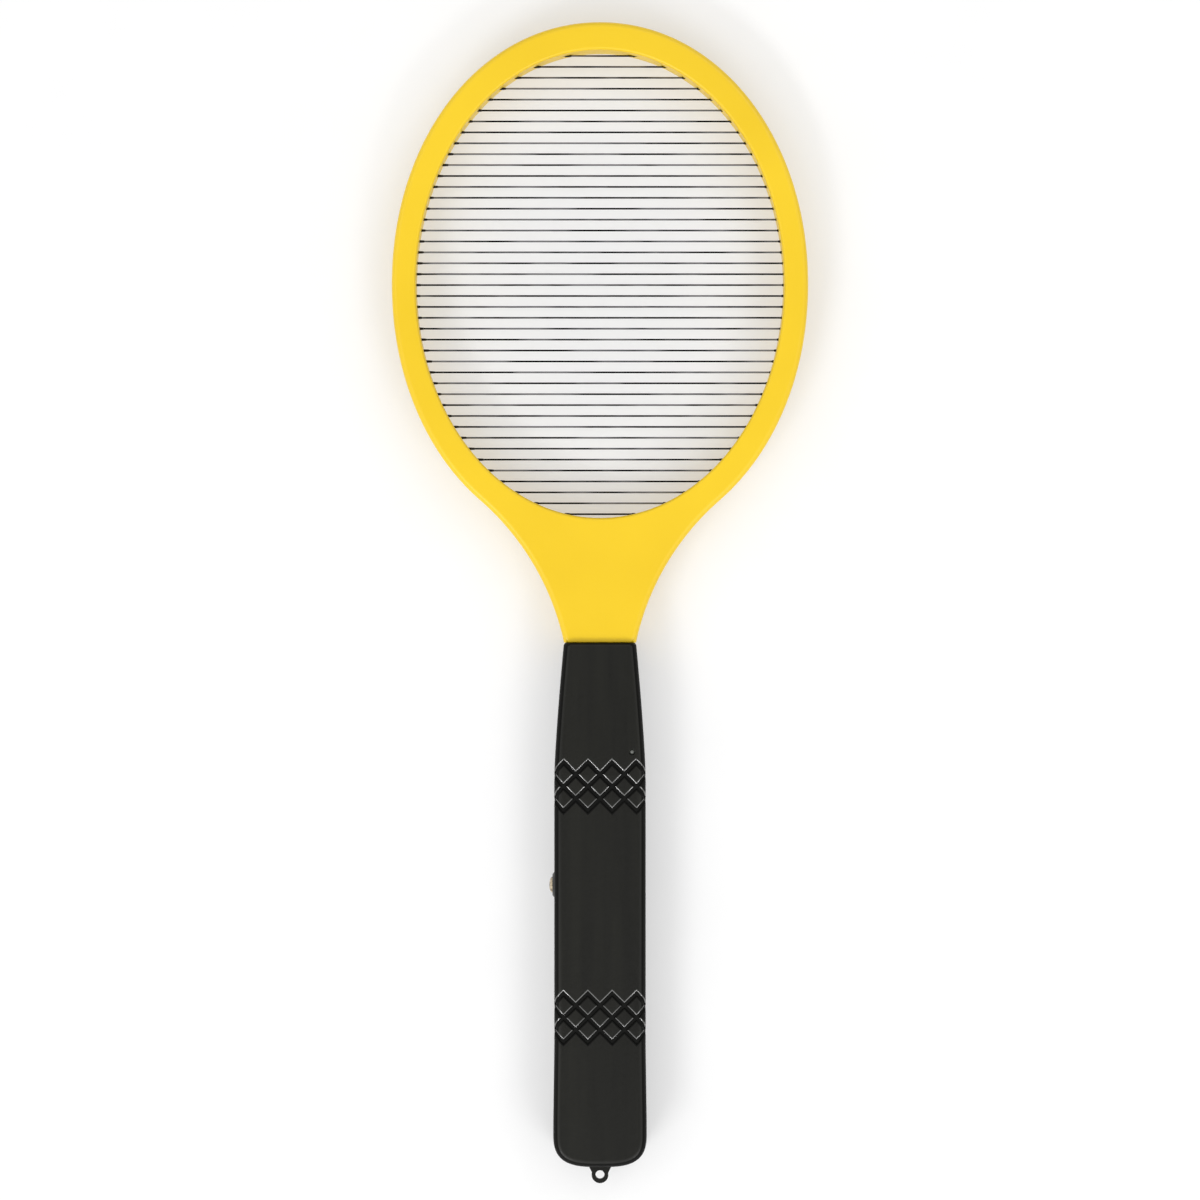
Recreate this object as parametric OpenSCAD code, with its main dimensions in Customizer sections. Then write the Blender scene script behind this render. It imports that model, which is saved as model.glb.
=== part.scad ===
/* [Head] */
// Overall width across the oval rim
head_w = 164.4; // [150:1:200]
// Overall length of the oval rim
head_l = 206.8; // [180:1:240]
// Width of the rim at its sides
rim_side = 9.5; // [9:0.5:14]
// Width of the rim at its top and bottom
rim_end = 11.1; // [9.5:0.5:16]
// Exponent of the rim's outer oval, 2 is an ellipse
rim_power = 2.04; // [2:0.02:2.3]
// Thickness of the head, both shells together
head_t = 14; // [12:0.5:16]
// Wall of the head shells
head_wall = 1.4; // [1.2:0.1:1.8]
// Width of the neck where it enters the handle
neck_w = 28.5; // [27:0.5:32]
// Length of the throat from the handle to the oval
throat_l = 38.1; // [30:1:60]
// Lean of the throat's sides at the handle, degrees off straight
throat_lean = 12; // [8:1:16]

/* [Grid] */
// Diameter of the grid wires
wire_d = 0.7; // [0.5:0.05:1]
// Spacing of the grid wires
wire_pitch = 4.32; // [3.5:0.1:6]
// Depth of the wire carrier, across the rim
carrier_w = 1.8; // [1.5:0.1:2.2]
// Thickness of the bus strips
bus_t = 0.6; // [0.5:0.05:0.7]
// Height of the bus strips
bus_h = 3; // [2:0.5:4]
// Number of screws around the rim
head_screw_count = 8; // [6:2:10]

/* [Handle] */
// Width of the grip
grip_w = 36; // [35:0.5:44]
// Width of the grip at its lower end
grip_end_w = 36.8; // [35:0.2:44]
// Length of the handle from the head to its lower end
grip_l = 206.4; // [195:1:250]
// Thickness of the grip
grip_t = 24; // [23:0.5:30]
// Thickness of the handle at its top end
grip_top_t = 19; // [18:0.5:22]
// Length of the taper at the top of the handle
taper_l = 52.4; // [45:1:60]
// Depth of the rounded lower end
grip_end_l = 14; // [10:1:18]
// Radius along the edges of the handle
grip_edge_r = 3; // [2.2:0.2:4]
// Wall of the handle shells
grip_wall = 1.8; // [1.5:0.1:2.2]
// Length of the tang inside the handle
tang_l = 18; // [16:1:22]
// Thickness of the tang
tang_t = 11.6; // [10:0.2:12]

/* [Grip pattern] */
// Distance from the head to the middle of the upper diamond band
band_1_down = 56.5; // [50:0.5:66]
// Distance from the head to the middle of the lower diamond band
band_2_down = 147.4; // [138:0.5:160]
// Wanted spacing of the diamonds around the handle
diamond_pitch = 9.6; // [8:0.2:12]
// Spacing of the three rows
row_pitch = 4.85; // [4:0.1:6]
// Width of the grooves between diamonds
groove_w = 1.6; // [1:0.1:2]
// Depth of the grooves
groove_d = 0.8; // [0.4:0.1:0.9]

/* [Lanyard eye] */
// Radius of the hole
eye_hole_r = 1.8; // [1.5:0.1:2.5]
// Wall around the hole
eye_wall = 1.5; // [1.2:0.1:2.5]
// Thickness of the eye
eye_t = 3; // [2:0.5:5]
// Distance of the hole below the handle's end
eye_drop = 4; // [3.5:0.1:6]
// Width of the eye where it leaves the handle
eye_base_w = 11; // [8:0.5:14]

/* [Cells and door] */
// Diameter of one cell
cell_d = 14.5; // [13.5:0.1:14.5]
// Length of one cell, terminals included
cell_l = 50.5; // [49:0.1:50.5]
// Thickness of the door's side walls, measured up from the back
door_side = 4.5; // [4:0.1:5]
// Height of the door's end wall above the back
door_end = 8.3; // [8.1:0.1:9]
// Gap round the door
door_gap = 0.3; // [0.25:0.05:0.5]
// Length left between the door's rails and the bulkhead
door_reach = 7; // [6:0.5:9]

/* [Switch] */
// Distance from the head to the button
button_down = 95.9; // [90:0.5:104]
// Diameter of the button
button_d = 6.3; // [5:0.1:6.5]
// How far the button stands out of the grip's side
button_out = 2.1; // [1.8:0.1:3]
// Travel of the button
button_travel = 1.2; // [0.5:0.1:1.2]
// Diameter of the bezel
bezel_d = 10.3; // [10.2:0.1:14]
// Height of the bezel
bezel_h = 0.8; // [0.5:0.1:1]
// Running clearance around the button
button_gap = 0.2; // [0.15:0.05:0.3]

/* [Board] */
// Width of the board
board_w = 28; // [27:0.5:29]
// Length of the board
board_l = 60; // [58:1:62]
// Thickness of the board
board_t = 1.6; // [1:0.2:2]
// Distance from the head to the top edge of the board
board_down = 29; // [28:0.5:30]

/* [Hidden] */
$fn = 48;
eps = 0.01;
// Clearance between pieces that are assembled and don't move
fit_gap = 0.1;

// Heights: the back of the handle lies on z = 0
mid = grip_t / 2;
head_half = head_t / 2;
tang_half = tang_t / 2;
head_floor = mid - head_half + head_wall;

// Lengths: y = 0 is the middle of the overall length, +y points at the head
above_seam = throat_l + head_l;
eye_r = eye_hole_r + eye_wall;
below_seam = grip_l + eye_drop + eye_r;
seam_y = (below_seam - above_seam) / 2;
head_y = seam_y + throat_l + head_l / 2;
grip_end_y = seam_y - grip_l;
eye_y = grip_end_y - eye_drop;

// ---------------------------------------------------------------- outlines
opening_w = head_w - 2 * rim_side;
opening_l = head_l - 2 * rim_end;
rim_steps = 96;

function signed_pow(v, p) = sign(v) * pow(abs(v), p);

// A point of the rim's outer oval at angle a, moved in by inset
function rim_point(a, inset = 0) = [
    (head_w / 2 - inset) * signed_pow(cos(a), 2 / rim_power),
    head_y + (head_l / 2 - inset) * signed_pow(sin(a), 2 / rim_power)
];

// A point of the opening's oval at angle a, moved out by out
function opening_point(a, out = 0) = [
    (opening_w / 2 + out) * cos(a),
    head_y + (opening_l / 2 + out) * sin(a)
];

// Half the width of the opening, moved out by out, at distance dy from its middle
function half_chord(dy, out = 0) =
    (opening_w / 2 + out) * sqrt(max(0, 1 - pow(dy / (opening_l / 2 + out), 2)));

// The throat's side is an arc that leaves the handle at throat_lean and touches the oval
function arc_centre(r) = [neck_w / 2 + r * cos(throat_lean), seam_y - r * sin(throat_lean)];
lower_rim = [for (a = [270 : 0.5 : 360]) rim_point(a)];
function rim_gap(r) = min([for (p = lower_rim) norm(p - arc_centre(r))]) - r;
function touching_r(low, high, steps = 30) =
    steps == 0 ? (low + high) / 2
    : rim_gap((low + high) / 2) > 0 ? touching_r((low + high) / 2, high, steps - 1)
    : touching_r(low, (low + high) / 2, steps - 1);
throat_r = touching_r(10, 600);
throat_centre = arc_centre(throat_r);
touch_point = [for (p = lower_rim) if (norm(p - throat_centre) < throat_r + 0.02) p][0];

module rim_oval(inset = 0)
    polygon([for (i = [0 : rim_steps - 1]) rim_point(i * 360 / rim_steps, inset)]);

module opening_oval(out = 0)
    polygon([for (i = [0 : rim_steps - 1]) opening_point(i * 360 / rim_steps, out)]);

// The solid throat between the handle and the oval, its sides moved in by inset
module throat_plan(inset = 0) difference() {
    translate([-touch_point[0], seam_y])
        square([2 * touch_point[0], touch_point[1] - seam_y]);
    for (side = [-1, 1])
        translate([side * throat_centre[0], throat_centre[1]])
            circle(r = throat_r + inset, $fn = 180);
}

module head_plan(inset = 0) {
    rim_oval(inset);
    throat_plan(inset);
}

// A flat piece of the oval ring between two distances out from the opening
module rim_band(near, far) difference() {
    opening_oval(far);
    opening_oval(near);
}

// ---------------------------------------------------------------- head shells
carrier_in = head_wall + 2 * fit_gap;
bus_in = carrier_in + carrier_w + fit_gap;
boss_r = 2.2;
boss_in = bus_in + bus_t + boss_r + fit_gap;
screw_pilot_r = 0.8;
screw_shank_r = 1;
screw_head_r = 1.8;
screw_head_h = 1.4;
notch_w = wire_d + 0.4;

wire_rows = floor((opening_l / 2 - 1) / wire_pitch);

// Screw places around the rim, none at the throat
function screw_angle(i) = 90 + (i - (head_screw_count - 1) / 2) * 300 / head_screw_count;
function screw_place(i) = opening_point(screw_angle(i), boss_in);

// Cuts the wires' notches through the inner wall of both shells
module wire_notches()
    for (k = [-wire_rows : wire_rows]) {
        reach = half_chord(max(0, abs(k) * wire_pitch - notch_w), carrier_in) + 0.3;
        translate([0, head_y + k * wire_pitch, mid]) cube([2 * reach, notch_w, notch_w], center = true);
    }

// The half of the head above the parting plane, hollow, without bosses
module head_half_shell() {
    difference() {
        linear_extrude(head_half) difference() {
            head_plan();
            opening_oval();
        }
        translate([0, 0, -eps]) linear_extrude(head_half - head_wall + eps) difference() {
            head_plan(head_wall);
            opening_oval(head_wall);
            translate([-head_w / 2, seam_y - 1]) square([head_w, 1 + head_wall]);
        }
        translate([-lead_channel_w / 2, seam_y - 1, -eps])
            cube([lead_channel_w, 2 * head_wall + 1, lead_channel_h]);
    }
    tang_half_block();
}

lead_channel_w = 6.4;
lead_channel_h = 3;
tang_w = neck_w - 3.5;
tang_screw_x = tang_w / 2 - 4.5;
tang_screw_y = seam_y - tang_l / 2 - 1;
tang_hole_r = 2.8;

module tang_half_block() difference() {
    translate([-tang_w / 2, seam_y - tang_l, 0]) cube([tang_w, tang_l + eps, tang_half]);
    translate([-lead_channel_w / 2, seam_y - tang_l - 1, -eps])
        cube([lead_channel_w, tang_l + 2, lead_channel_h]);
    for (side = [-1, 1])
        translate([side * tang_screw_x, tang_screw_y, -1]) cylinder(r = tang_hole_r, h = head_t);
}

module head_front_shell() color("gold") difference() {
    union() {
        translate([0, 0, mid]) head_half_shell();
        for (i = [0 : head_screw_count - 1])
            translate([screw_place(i)[0], screw_place(i)[1], mid])
                cylinder(r = boss_r, h = head_half - head_wall / 2);
    }
    for (i = [0 : head_screw_count - 1])
        translate([screw_place(i)[0], screw_place(i)[1], mid - 1])
            cylinder(r = screw_pilot_r, h = head_half - head_wall);
    wire_notches();
}

module head_back_shell() color("gold") difference() {
    union() {
        translate([0, 0, mid]) mirror([0, 0, 1]) head_half_shell();
        for (i = [0 : head_screw_count - 1])
            translate([screw_place(i)[0], screw_place(i)[1], mid - head_half + head_wall / 2])
                cylinder(r = boss_r + 0.1, h = head_half - head_wall / 2);
    }
    for (i = [0 : head_screw_count - 1])
        translate([screw_place(i)[0], screw_place(i)[1], mid - head_half]) {
            translate([0, 0, -1]) cylinder(r = screw_shank_r + 0.2, h = head_half + 2);
            translate([0, 0, -1]) cylinder(r = screw_head_r + 0.15, h = 1 + head_screw_sink);
        }
    wire_notches();
}

head_screw_sink = 3;

module head_screws() color("silver")
    for (i = [0 : head_screw_count - 1])
        translate([screw_place(i)[0], screw_place(i)[1], mid - head_half + head_screw_sink])
            pan_screw(screw_head_r, screw_head_h, screw_pilot_r, head_t - head_wall - 5);

// A pan-head screw whose head's underside is at z = 0 and whose shank points up
module pan_screw(head_r, head_h, shank_r, shank_l) difference() {
    union() {
        translate([0, 0, -head_h + 0.4]) cylinder(r = head_r, h = head_h - 0.4);
        translate([0, 0, -head_h]) cylinder(r1 = head_r * 0.75, r2 = head_r, h = 0.4);
        cylinder(r = shank_r, h = shank_l - shank_r);
        translate([0, 0, shank_l - shank_r]) cylinder(r1 = shank_r, r2 = 0.2, h = shank_r);
    }
    for (turn = [0, 90])
        rotate(turn) translate([-head_r * 0.6, -0.25, -head_h - eps])
            cube([head_r * 1.2, 0.5, head_h * 0.55]);
}

// ---------------------------------------------------------------- grid
carrier_top = mid + 3;

module wire_carrier() color("ivory") difference() {
    translate([0, 0, head_floor + fit_gap]) linear_extrude(carrier_top - head_floor - fit_gap)
        rim_band(carrier_in, carrier_in + carrier_w);
    for (k = [-wire_rows : wire_rows])
        translate([-head_w / 2, head_y + k * wire_pitch - wire_d / 2 - 0.05, mid - wire_d / 2 - 0.05])
            cube([head_w, wire_d + 0.1, head_t]);
}

// One grid wire, its ends at the given distances out from the opening
module grid_wire(k, left_out, right_out) {
    left = half_chord(k * wire_pitch, left_out);
    right = half_chord(k * wire_pitch, right_out);
    translate([-left, head_y + k * wire_pitch, mid]) rotate([0, 90, 0])
        cylinder(d = wire_d, h = left + right, $fn = 16);
}

wire_stop = carrier_in + carrier_w / 2;
wire_joint = bus_in + bus_t / 2;

module live_wires() color("dimgray")
    for (k = [-wire_rows : 2 : wire_rows]) grid_wire(k, wire_joint, wire_stop);

module return_wires() color("dimgray")
    for (k = [1 - wire_rows : 2 : wire_rows]) grid_wire(k, wire_stop, wire_joint);

bus_end_angle = 8;
bus_steps = 44;

// A thin upright strip that follows the right side of the oval
module bus_strip() {
    from = -90 + bus_end_angle;
    step = (180 - 2 * bus_end_angle) / bus_steps;
    translate([0, 0, mid - bus_h / 2]) linear_extrude(bus_h) polygon(concat(
        [for (i = [0 : bus_steps]) opening_point(from + i * step, bus_in)],
        [for (i = [bus_steps : -1 : 0]) opening_point(from + i * step, bus_in + bus_t)]
    ));
}

module live_bus() color("silver") mirror([1, 0, 0]) bus_strip();

module return_bus() color("silver") bus_strip();

// ---------------------------------------------------------------- leads
// A point on a smooth curve through the list p, t from 0 to len(p) - 1
function on_curve(p, t) =
    let (i = min(floor(t), len(p) - 2), u = t - i)
    let (a = p[max(i - 1, 0)], b = p[i], c = p[i + 1], d = p[min(i + 2, len(p) - 1)])
    0.5 * (2 * b + (c - a) * u + (2 * a - 5 * b + 4 * c - d) * u * u
        + (3 * b - a - 3 * c + d) * u * u * u);
function unit(v) = v / norm(v);

// A round lead swept through the points, which never run straight up
module lead(points, r, sides = 8, per_span = 4) {
    n = (len(points) - 1) * per_span;
    centre = [for (i = [0 : n]) on_curve(points, i / per_span)];
    ahead = [for (i = [0 : n]) unit(centre[min(i + 1, n)] - centre[max(i - 1, 0)])];
    sideways = [for (v = ahead) unit(cross([0, 0, 1], v))];
    polyhedron(
        points = [for (i = [0 : n], j = [0 : sides - 1])
            let (a = j * 360 / sides, up = cross(ahead[i], sideways[i]))
            centre[i] + r * (cos(a) * sideways[i] + sin(a) * up)],
        faces = concat(
            [[for (j = [0 : sides - 1]) j]],
            [for (i = [0 : n - 1], j = [0 : sides - 1])
                let (k = (j + 1) % sides)
                each [[i * sides + j, (i + 1) * sides + k, i * sides + k],
                      [i * sides + j, (i + 1) * sides + j, (i + 1) * sides + k]]],
            [[for (j = [sides - 1 : -1 : 0]) n * sides + j]]
        )
    );
}

lead_r = 0.6;
board_z = grip_wall + 5.2;
board_top = board_z + board_t;

// From a bus strip's lower end through the tang to the board, on the right side
module grid_lead() {
    start = opening_point(-90 + bus_end_angle, bus_in + bus_t);
    lead([
        [start[0] - 0.2, start[1] - lead_r, mid],
        [start[0] - 3, start[1] - 4, mid],
        [4.5, seam_y + throat_l * 0.45, mid - 0.4],
        [1.7, seam_y + 4, mid],
        [1.7, seam_y - tang_l / 2, mid],
        [1.9, seam_y - tang_l, mid],
        [3.5, board_y + 1, board_top + 1.6],
        [4, board_y - 3, board_top + lead_r + 0.15]
    ], lead_r);
}

module live_lead() color("crimson") mirror([1, 0, 0]) grid_lead();

module return_lead() color("royalblue") grid_lead();

// ---------------------------------------------------------------- handle body
// Half the width of the handle at distance s below its top
function half_width(s) =
    s < taper_l ? grip_w / 2 - (grip_w - neck_w) / 2 * pow(1 - s / taper_l, 1.3)
    : s < flare_from ? grip_w / 2
    : grip_w / 2 + (grip_end_w - grip_w) / 2 * min(1, (s - flare_from) / (flare_to - flare_from));
flare_from = band_2_down + 12;
flare_to = grip_l - grip_end_l - 4;

// Half its thickness there
function half_depth(s) =
    s < taper_l ? grip_t / 2 - (grip_t - grip_top_t) / 2 * pow(1 - s / taper_l, 1.3)
    : grip_t / 2;

end_power = 3.1;
taper_steps = 7;
end_steps = 10;

// Right-hand side of the plan from top to bottom as [half width, distance down], moved in
function side_plan(inset) = concat(
    [for (i = [0 : taper_steps])
        let (s = max(inset, i * taper_l / taper_steps)) [half_width(s) - inset, s]],
    [for (s = [flare_from, flare_to]) [half_width(s) - inset, s]],
    [for (i = [0 : end_steps])
        let (a = i * 84 / end_steps)
        [(grip_end_w / 2 - inset) * pow(cos(a), 2 / end_power),
         grip_l - grip_end_l + (grip_end_l - inset) * pow(sin(a), 2 / end_power)]]
);

// The rounded body of the handle as stacked outlines, its whole surface moved in by inset
module handle_body(inset = 0, edge_steps = 4) {
    r = max(0.6, grip_edge_r - inset);
    half = side_plan(inset);
    n = len(half);
    ring_len = 2 * n;
    layers = concat(
        [for (q = [0 : edge_steps]) [-1, q * 90 / edge_steps]],
        [for (q = [edge_steps : -1 : 0]) [1, q * 90 / edge_steps]]
    );
    points = [for (layer = layers)
        let (in_by = r * (1 - sin(layer[1])), drop = r * (1 - cos(layer[1])))
        let (plan = side_plan(inset + in_by))
        each [for (i = [0 : ring_len - 1])
            let (p = i < n ? plan[i] : plan[ring_len - 1 - i], side = i < n ? 1 : -1)
            [side * p[0], seam_y - p[1], mid + layer[0] * (half_depth(p[1]) - inset - drop)]]
    ];
    last = (len(layers) - 1) * ring_len;
    polyhedron(points = points, faces = concat(
        [for (i = [0 : n - 2])
            let (a = i, b = i + 1, c = ring_len - 2 - i, d = ring_len - 1 - i)
            each [[a, c, b], [a, d, c]]],
        [for (k = [0 : len(layers) - 2], i = [0 : ring_len - 1])
            let (j = (i + 1) % ring_len, low = k * ring_len, high = (k + 1) * ring_len)
            each [[low + i, low + j, high + j], [low + i, high + j, high + i]]],
        [for (i = [0 : n - 2])
            let (a = last + i, b = last + i + 1, c = last + ring_len - 2 - i, d = last + ring_len - 1 - i)
            each [[a, b, c], [a, c, d]]]
    ));
}

// Diamonds go all the way round: their spacing is the girth shared out evenly
flat_half = grip_w / 2 - grip_edge_r;
side_half = grip_t / 2 - grip_edge_r;
girth = 4 * (flat_half + side_half) + 2 * PI * grip_edge_r;
columns_round = 2 * round(girth / diamond_pitch / 2);
column_pitch = girth / columns_round;
diamond_side = column_pitch / sqrt(2);

// Grooves of three rows of diamonds, wide enough to cover the width
module groove_plan(width) {
    reach = ceil(width / column_pitch / 2);
    module cells(size) {
        for (k = [-reach : reach]) translate([k * column_pitch, 0]) rotate(45) square(size, center = true);
        for (k = [-reach : reach - 1], row = [-1, 1])
            translate([(k + 0.5) * column_pitch, row * row_pitch]) rotate(45) square(size, center = true);
    }
    intersection() {
        difference() {
            cells(diamond_side + groove_w);
            cells(diamond_side - groove_w);
        }
        square([width, 6 * row_pitch], center = true);
    }
}

// The grooves of one band on the four sides of the handle
module band_grooves(down) translate([0, seam_y - down, mid]) {
    for (face = [0, 180])
        rotate([0, face, 0]) translate([0, 0, grip_t / 2 - groove_d])
            linear_extrude(groove_d + 1) groove_plan(grip_w - 2);
    for (face = [90, -90])
        rotate([0, face, 0]) translate([0, 0, grip_w / 2 - groove_d])
            linear_extrude(groove_d + 1) groove_plan(grip_t - 4);
}

module handle_wall() difference() {
    handle_body();
    handle_body(grip_wall);
    band_grooves(band_1_down);
    band_grooves(band_2_down);
}

module slab(low, high) translate([-grip_w, grip_end_y - 20, low])
    cube([2 * grip_w, grip_l + 40, high - low]);

// The opening in the handle's top for the tang
module tang_slot() translate([-tang_w / 2 - 0.2, seam_y - 2 * grip_wall, mid - tang_half - 0.2])
    cube([tang_w + 0.4, 2 * grip_wall + 1, tang_t + 0.4]);

// Where the switch's barrel passes the left wall
button_y = seam_y - button_down;
barrel_r = button_d / 2 + button_gap + 1.05;
module barrel_hole() translate([-grip_w / 2 - 1, button_y, mid]) rotate([0, 90, 0])
    cylinder(r = barrel_r + fit_gap, h = grip_wall + 3);

// Places along the battery bay, counted up from the lower end
spring_room = 5.6;
contact_t = 0.4;
bridge_y = grip_end_y + grip_wall + 1.8;
cells_y = bridge_y + contact_t + spring_room;
cells_top = cells_y + cell_l;
top_room = 3.4;
bulkhead_y = cells_top + top_room + contact_t;
bulkhead_t = 1.6;
door_y = bulkhead_y + bulkhead_t + door_reach;
cell_x = cell_d / 2 + 0.15;

// ---------------------------------------------------------------- handle shells
post_r = 3.5;
handle_screw_y = bulkhead_y + bulkhead_t + door_reach + 12;
handle_screw_x = grip_w / 2 - 7;
handle_posts = [
    [-tang_screw_x, tang_screw_y], [tang_screw_x, tang_screw_y],
    [-handle_screw_x, handle_screw_y], [handle_screw_x, handle_screw_y]
];
boss_end = mid - tang_half - 0.1;
handle_screw_r = 1.3;
handle_head_r = 2.4;
handle_head_h = 1.8;
handle_sink = 3.4;

function depth_at(y) = half_depth(seam_y - y);

module cradle_rib(y) translate([0, y, 0]) rotate([90, 0, 0]) linear_extrude(1.2) difference() {
    translate([-grip_w / 2 + grip_wall / 2, mid]) square([grip_w - grip_wall, grip_t / 2 - grip_wall / 2]);
    for (side = [-1, 1]) translate([side * cell_x, mid]) circle(r = cell_d / 2 + 0.2);
}

module handle_front_shell() color([0.16, 0.16, 0.14]) difference() {
    union() {
        intersection() {
            handle_wall();
            slab(mid, grip_t + 1);
        }
        intersection() {
            union() {
                for (p = handle_posts)
                    translate([p[0], p[1], p[1] > button_y ? boss_end : mid])
                        cylinder(r = tang_hole_r - 0.2, h = grip_t);
                for (i = [1 : 3]) cradle_rib(cells_y + i * cell_l / 4);
                translate([-grip_w, bulkhead_y, mid]) cube([2 * grip_w, bulkhead_t, grip_t]);
            }
            handle_body(grip_wall / 2);
        }
        lanyard_eye();
    }
    for (p = handle_posts)
        translate([p[0], p[1], 0]) cylinder(r = handle_screw_r - 0.25, h = mid + depth_at(p[1]) - grip_wall);
    tang_slot();
    barrel_hole();
    for (x = [-1, 1] * wall_lead_x) translate([x, bulkhead_y - 1, wall_lead_z]) rotate([-90, 0, 0])
        cylinder(r = lead_r + 0.5, h = bulkhead_t + 2);
    translate([led_x, led_y, mid]) cylinder(r = led_r + 0.1, h = grip_t);
}

module lanyard_eye() translate([0, 0, mid]) linear_extrude(eye_t) difference() {
    union() {
        translate([0, eye_y]) circle(r = eye_r);
        polygon([
            [-eye_base_w / 2, grip_end_y + 1], [-eye_r * 0.96, eye_y + eye_r * 0.28],
            [eye_r * 0.96, eye_y + eye_r * 0.28], [eye_base_w / 2, grip_end_y + 1]
        ]);
    }
    translate([0, eye_y]) circle(r = eye_hole_r);
}

// The door's share of the handle, grown by grow
module door_zone(grow = 0) {
    translate([-grip_w, grip_end_y - 20, -1])
        cube([2 * grip_w, door_y - grip_end_y + 20 + grow, door_side + 1 + grow]);
    translate([-grip_w, grip_end_y - 20, -1])
        cube([2 * grip_w, 20 + grip_end_l + grow, door_end + 1 + grow]);
}

rail_w = 1;
ledge_low = door_side + 0.8;
ledge_high = ledge_low + 1.3;
lip_high = ledge_high + door_gap + 1;
// The rails stand just clear of the cells' flanks
rail_x = cell_x + sqrt(pow(cell_d / 2, 2) - pow(max(0, mid - lip_high), 2)) + 0.2;

module handle_back_shell() color([0.16, 0.16, 0.14]) difference() {
    union() {
        intersection() {
            handle_wall();
            slab(-1, mid);
        }
        intersection() {
            union() {
                for (p = handle_posts)
                    translate([p[0], p[1], 0])
                        cylinder(r = post_r, h = (p[1] > button_y ? boss_end : mid) - 0.1);
                translate([-grip_w, bulkhead_y, 0]) cube([2 * grip_w, bulkhead_t, mid]);
                for (p = board_posts) translate([p[0], p[1], 0]) cylinder(r = board_post_r, h = board_z);
                // ledges that the door's lips run over
                for (side = [0, 1]) mirror([side, 0, 0])
                    translate([rail_x + rail_w + door_gap, grip_end_y + grip_end_l + 2, ledge_low])
                        cube([grip_w / 2, bulkhead_y - grip_end_y - grip_end_l - 2, ledge_high - ledge_low]);
            }
            handle_body(grip_wall / 2);
        }
    }
    for (p = handle_posts) translate([p[0], p[1], mid - depth_at(p[1])]) {
        translate([0, 0, -1]) cylinder(r = handle_screw_r + 0.2, h = mid + 2);
        translate([0, 0, -1]) cylinder(r = handle_head_r + 0.2, h = 1 + handle_sink - sink_less(p));
    }
    for (p = board_posts) translate([p[0], p[1], grip_wall]) cylinder(r = board_screw_r, h = board_z);
    tang_slot();
    barrel_hole();
    door_zone(door_gap);
}

// The neck's posts are short, so their screws sit higher
function sink_less(p) = p[1] > button_y ? 1.6 : 0;

module handle_screws() color("silver")
    for (p = handle_posts)
        translate([p[0], p[1], mid - depth_at(p[1]) + handle_sink - sink_less(p)])
            pan_screw(handle_head_r, handle_head_h - sink_less(p) / 2, handle_screw_r - 0.25, mid + 1);

stiffener_l = 16;
module battery_door() color([0.16, 0.16, 0.14]) {
    intersection() {
        handle_wall();
        door_zone();
    }
    intersection() {
        for (side = [0, 1]) mirror([side, 0, 0]) {
            rail_from = grip_end_y + grip_end_l;
            rail_l = bulkhead_y - rail_from - 1;
            translate([rail_x, rail_from, grip_wall / 2]) cube([rail_w, rail_l, lip_high - grip_wall / 2]);
            translate([rail_x, rail_from, ledge_high + door_gap])
                cube([rail_w + 1.1, rail_l, lip_high - ledge_high - door_gap]);
        }
        handle_body(grip_wall / 2);
    }
    // ribs across the inside stiffen the panel
    for (i = [0 : 4])
        translate([-stiffener_l / 2, grip_end_y + grip_end_l + 8 + i * 2.2, grip_wall * 0.9 - eps])
            cube([stiffener_l, 1, 1]);
}

// ---------------------------------------------------------------- cells and contacts
module cell(nub_up) {
    nub_h = 1.2;
    rotate([-90, 0, 0]) mirror([0, 0, nub_up ? 0 : 1]) translate([0, 0, nub_up ? 0 : -cell_l]) {
        translate([0, 0, 0.4]) cylinder(d = cell_d, h = cell_l - nub_h - 0.8);
        cylinder(d = cell_d - 3, h = 0.4 + eps);
        translate([0, 0, cell_l - nub_h - 0.4 - eps]) cylinder(d = cell_d - 1.6, h = 0.4 + eps);
        translate([0, 0, cell_l - nub_h - eps]) cylinder(d = 5.5, h = nub_h + eps);
    }
}

module battery_cell_left() color("steelblue") translate([-cell_x, cells_y, mid]) cell(true);

module battery_cell_right() color("steelblue") translate([cell_x, cells_y, mid]) cell(false);

// A coil of round wire that stands on z = 0, its radius going from r1 to r2
module coil(r1, r2, wire_r, height, turns, per_turn = 14, sides = 6) {
    n = turns * per_turn;
    polyhedron(
        points = [for (i = [0 : n], j = [0 : sides - 1])
            let (t = i / n, a = t * turns * 360, b = j * 360 / sides)
            let (out = r1 + (r2 - r1) * t + wire_r * cos(b))
            [out * cos(a), out * sin(a), wire_r + (height - 2 * wire_r) * t + wire_r * sin(b)]],
        faces = concat(
            [[for (j = [sides - 1 : -1 : 0]) j]],
            [for (i = [0 : n - 1], j = [0 : sides - 1])
                let (k = (j + 1) % sides)
                each [[i * sides + j, i * sides + k, (i + 1) * sides + k],
                      [i * sides + j, (i + 1) * sides + k, (i + 1) * sides + j]]],
            [[for (j = [0 : sides - 1]) n * sides + j]]
        )
    );
}

spring_wire_r = 0.4;
coil_base_r = 3.6;
coil_tip_r = 2.2;
plate_h = 10;
bridge_w = 22.8;
module bridge_contact() color("silver") {
    translate([-bridge_w / 2, bridge_y, mid - plate_h / 2]) cube([bridge_w, contact_t, plate_h]);
    translate([-cell_x, bridge_y + contact_t - spring_wire_r / 2, mid]) rotate([-90, 0, 0])
        coil(coil_base_r, coil_tip_r, spring_wire_r, spring_room + spring_wire_r / 2, 4);
    translate([cell_x, bridge_y + contact_t - eps, mid]) rotate([-90, 0, 0])
        cylinder(r1 = coil_base_r, r2 = coil_tip_r, h = spring_room);
}

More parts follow.
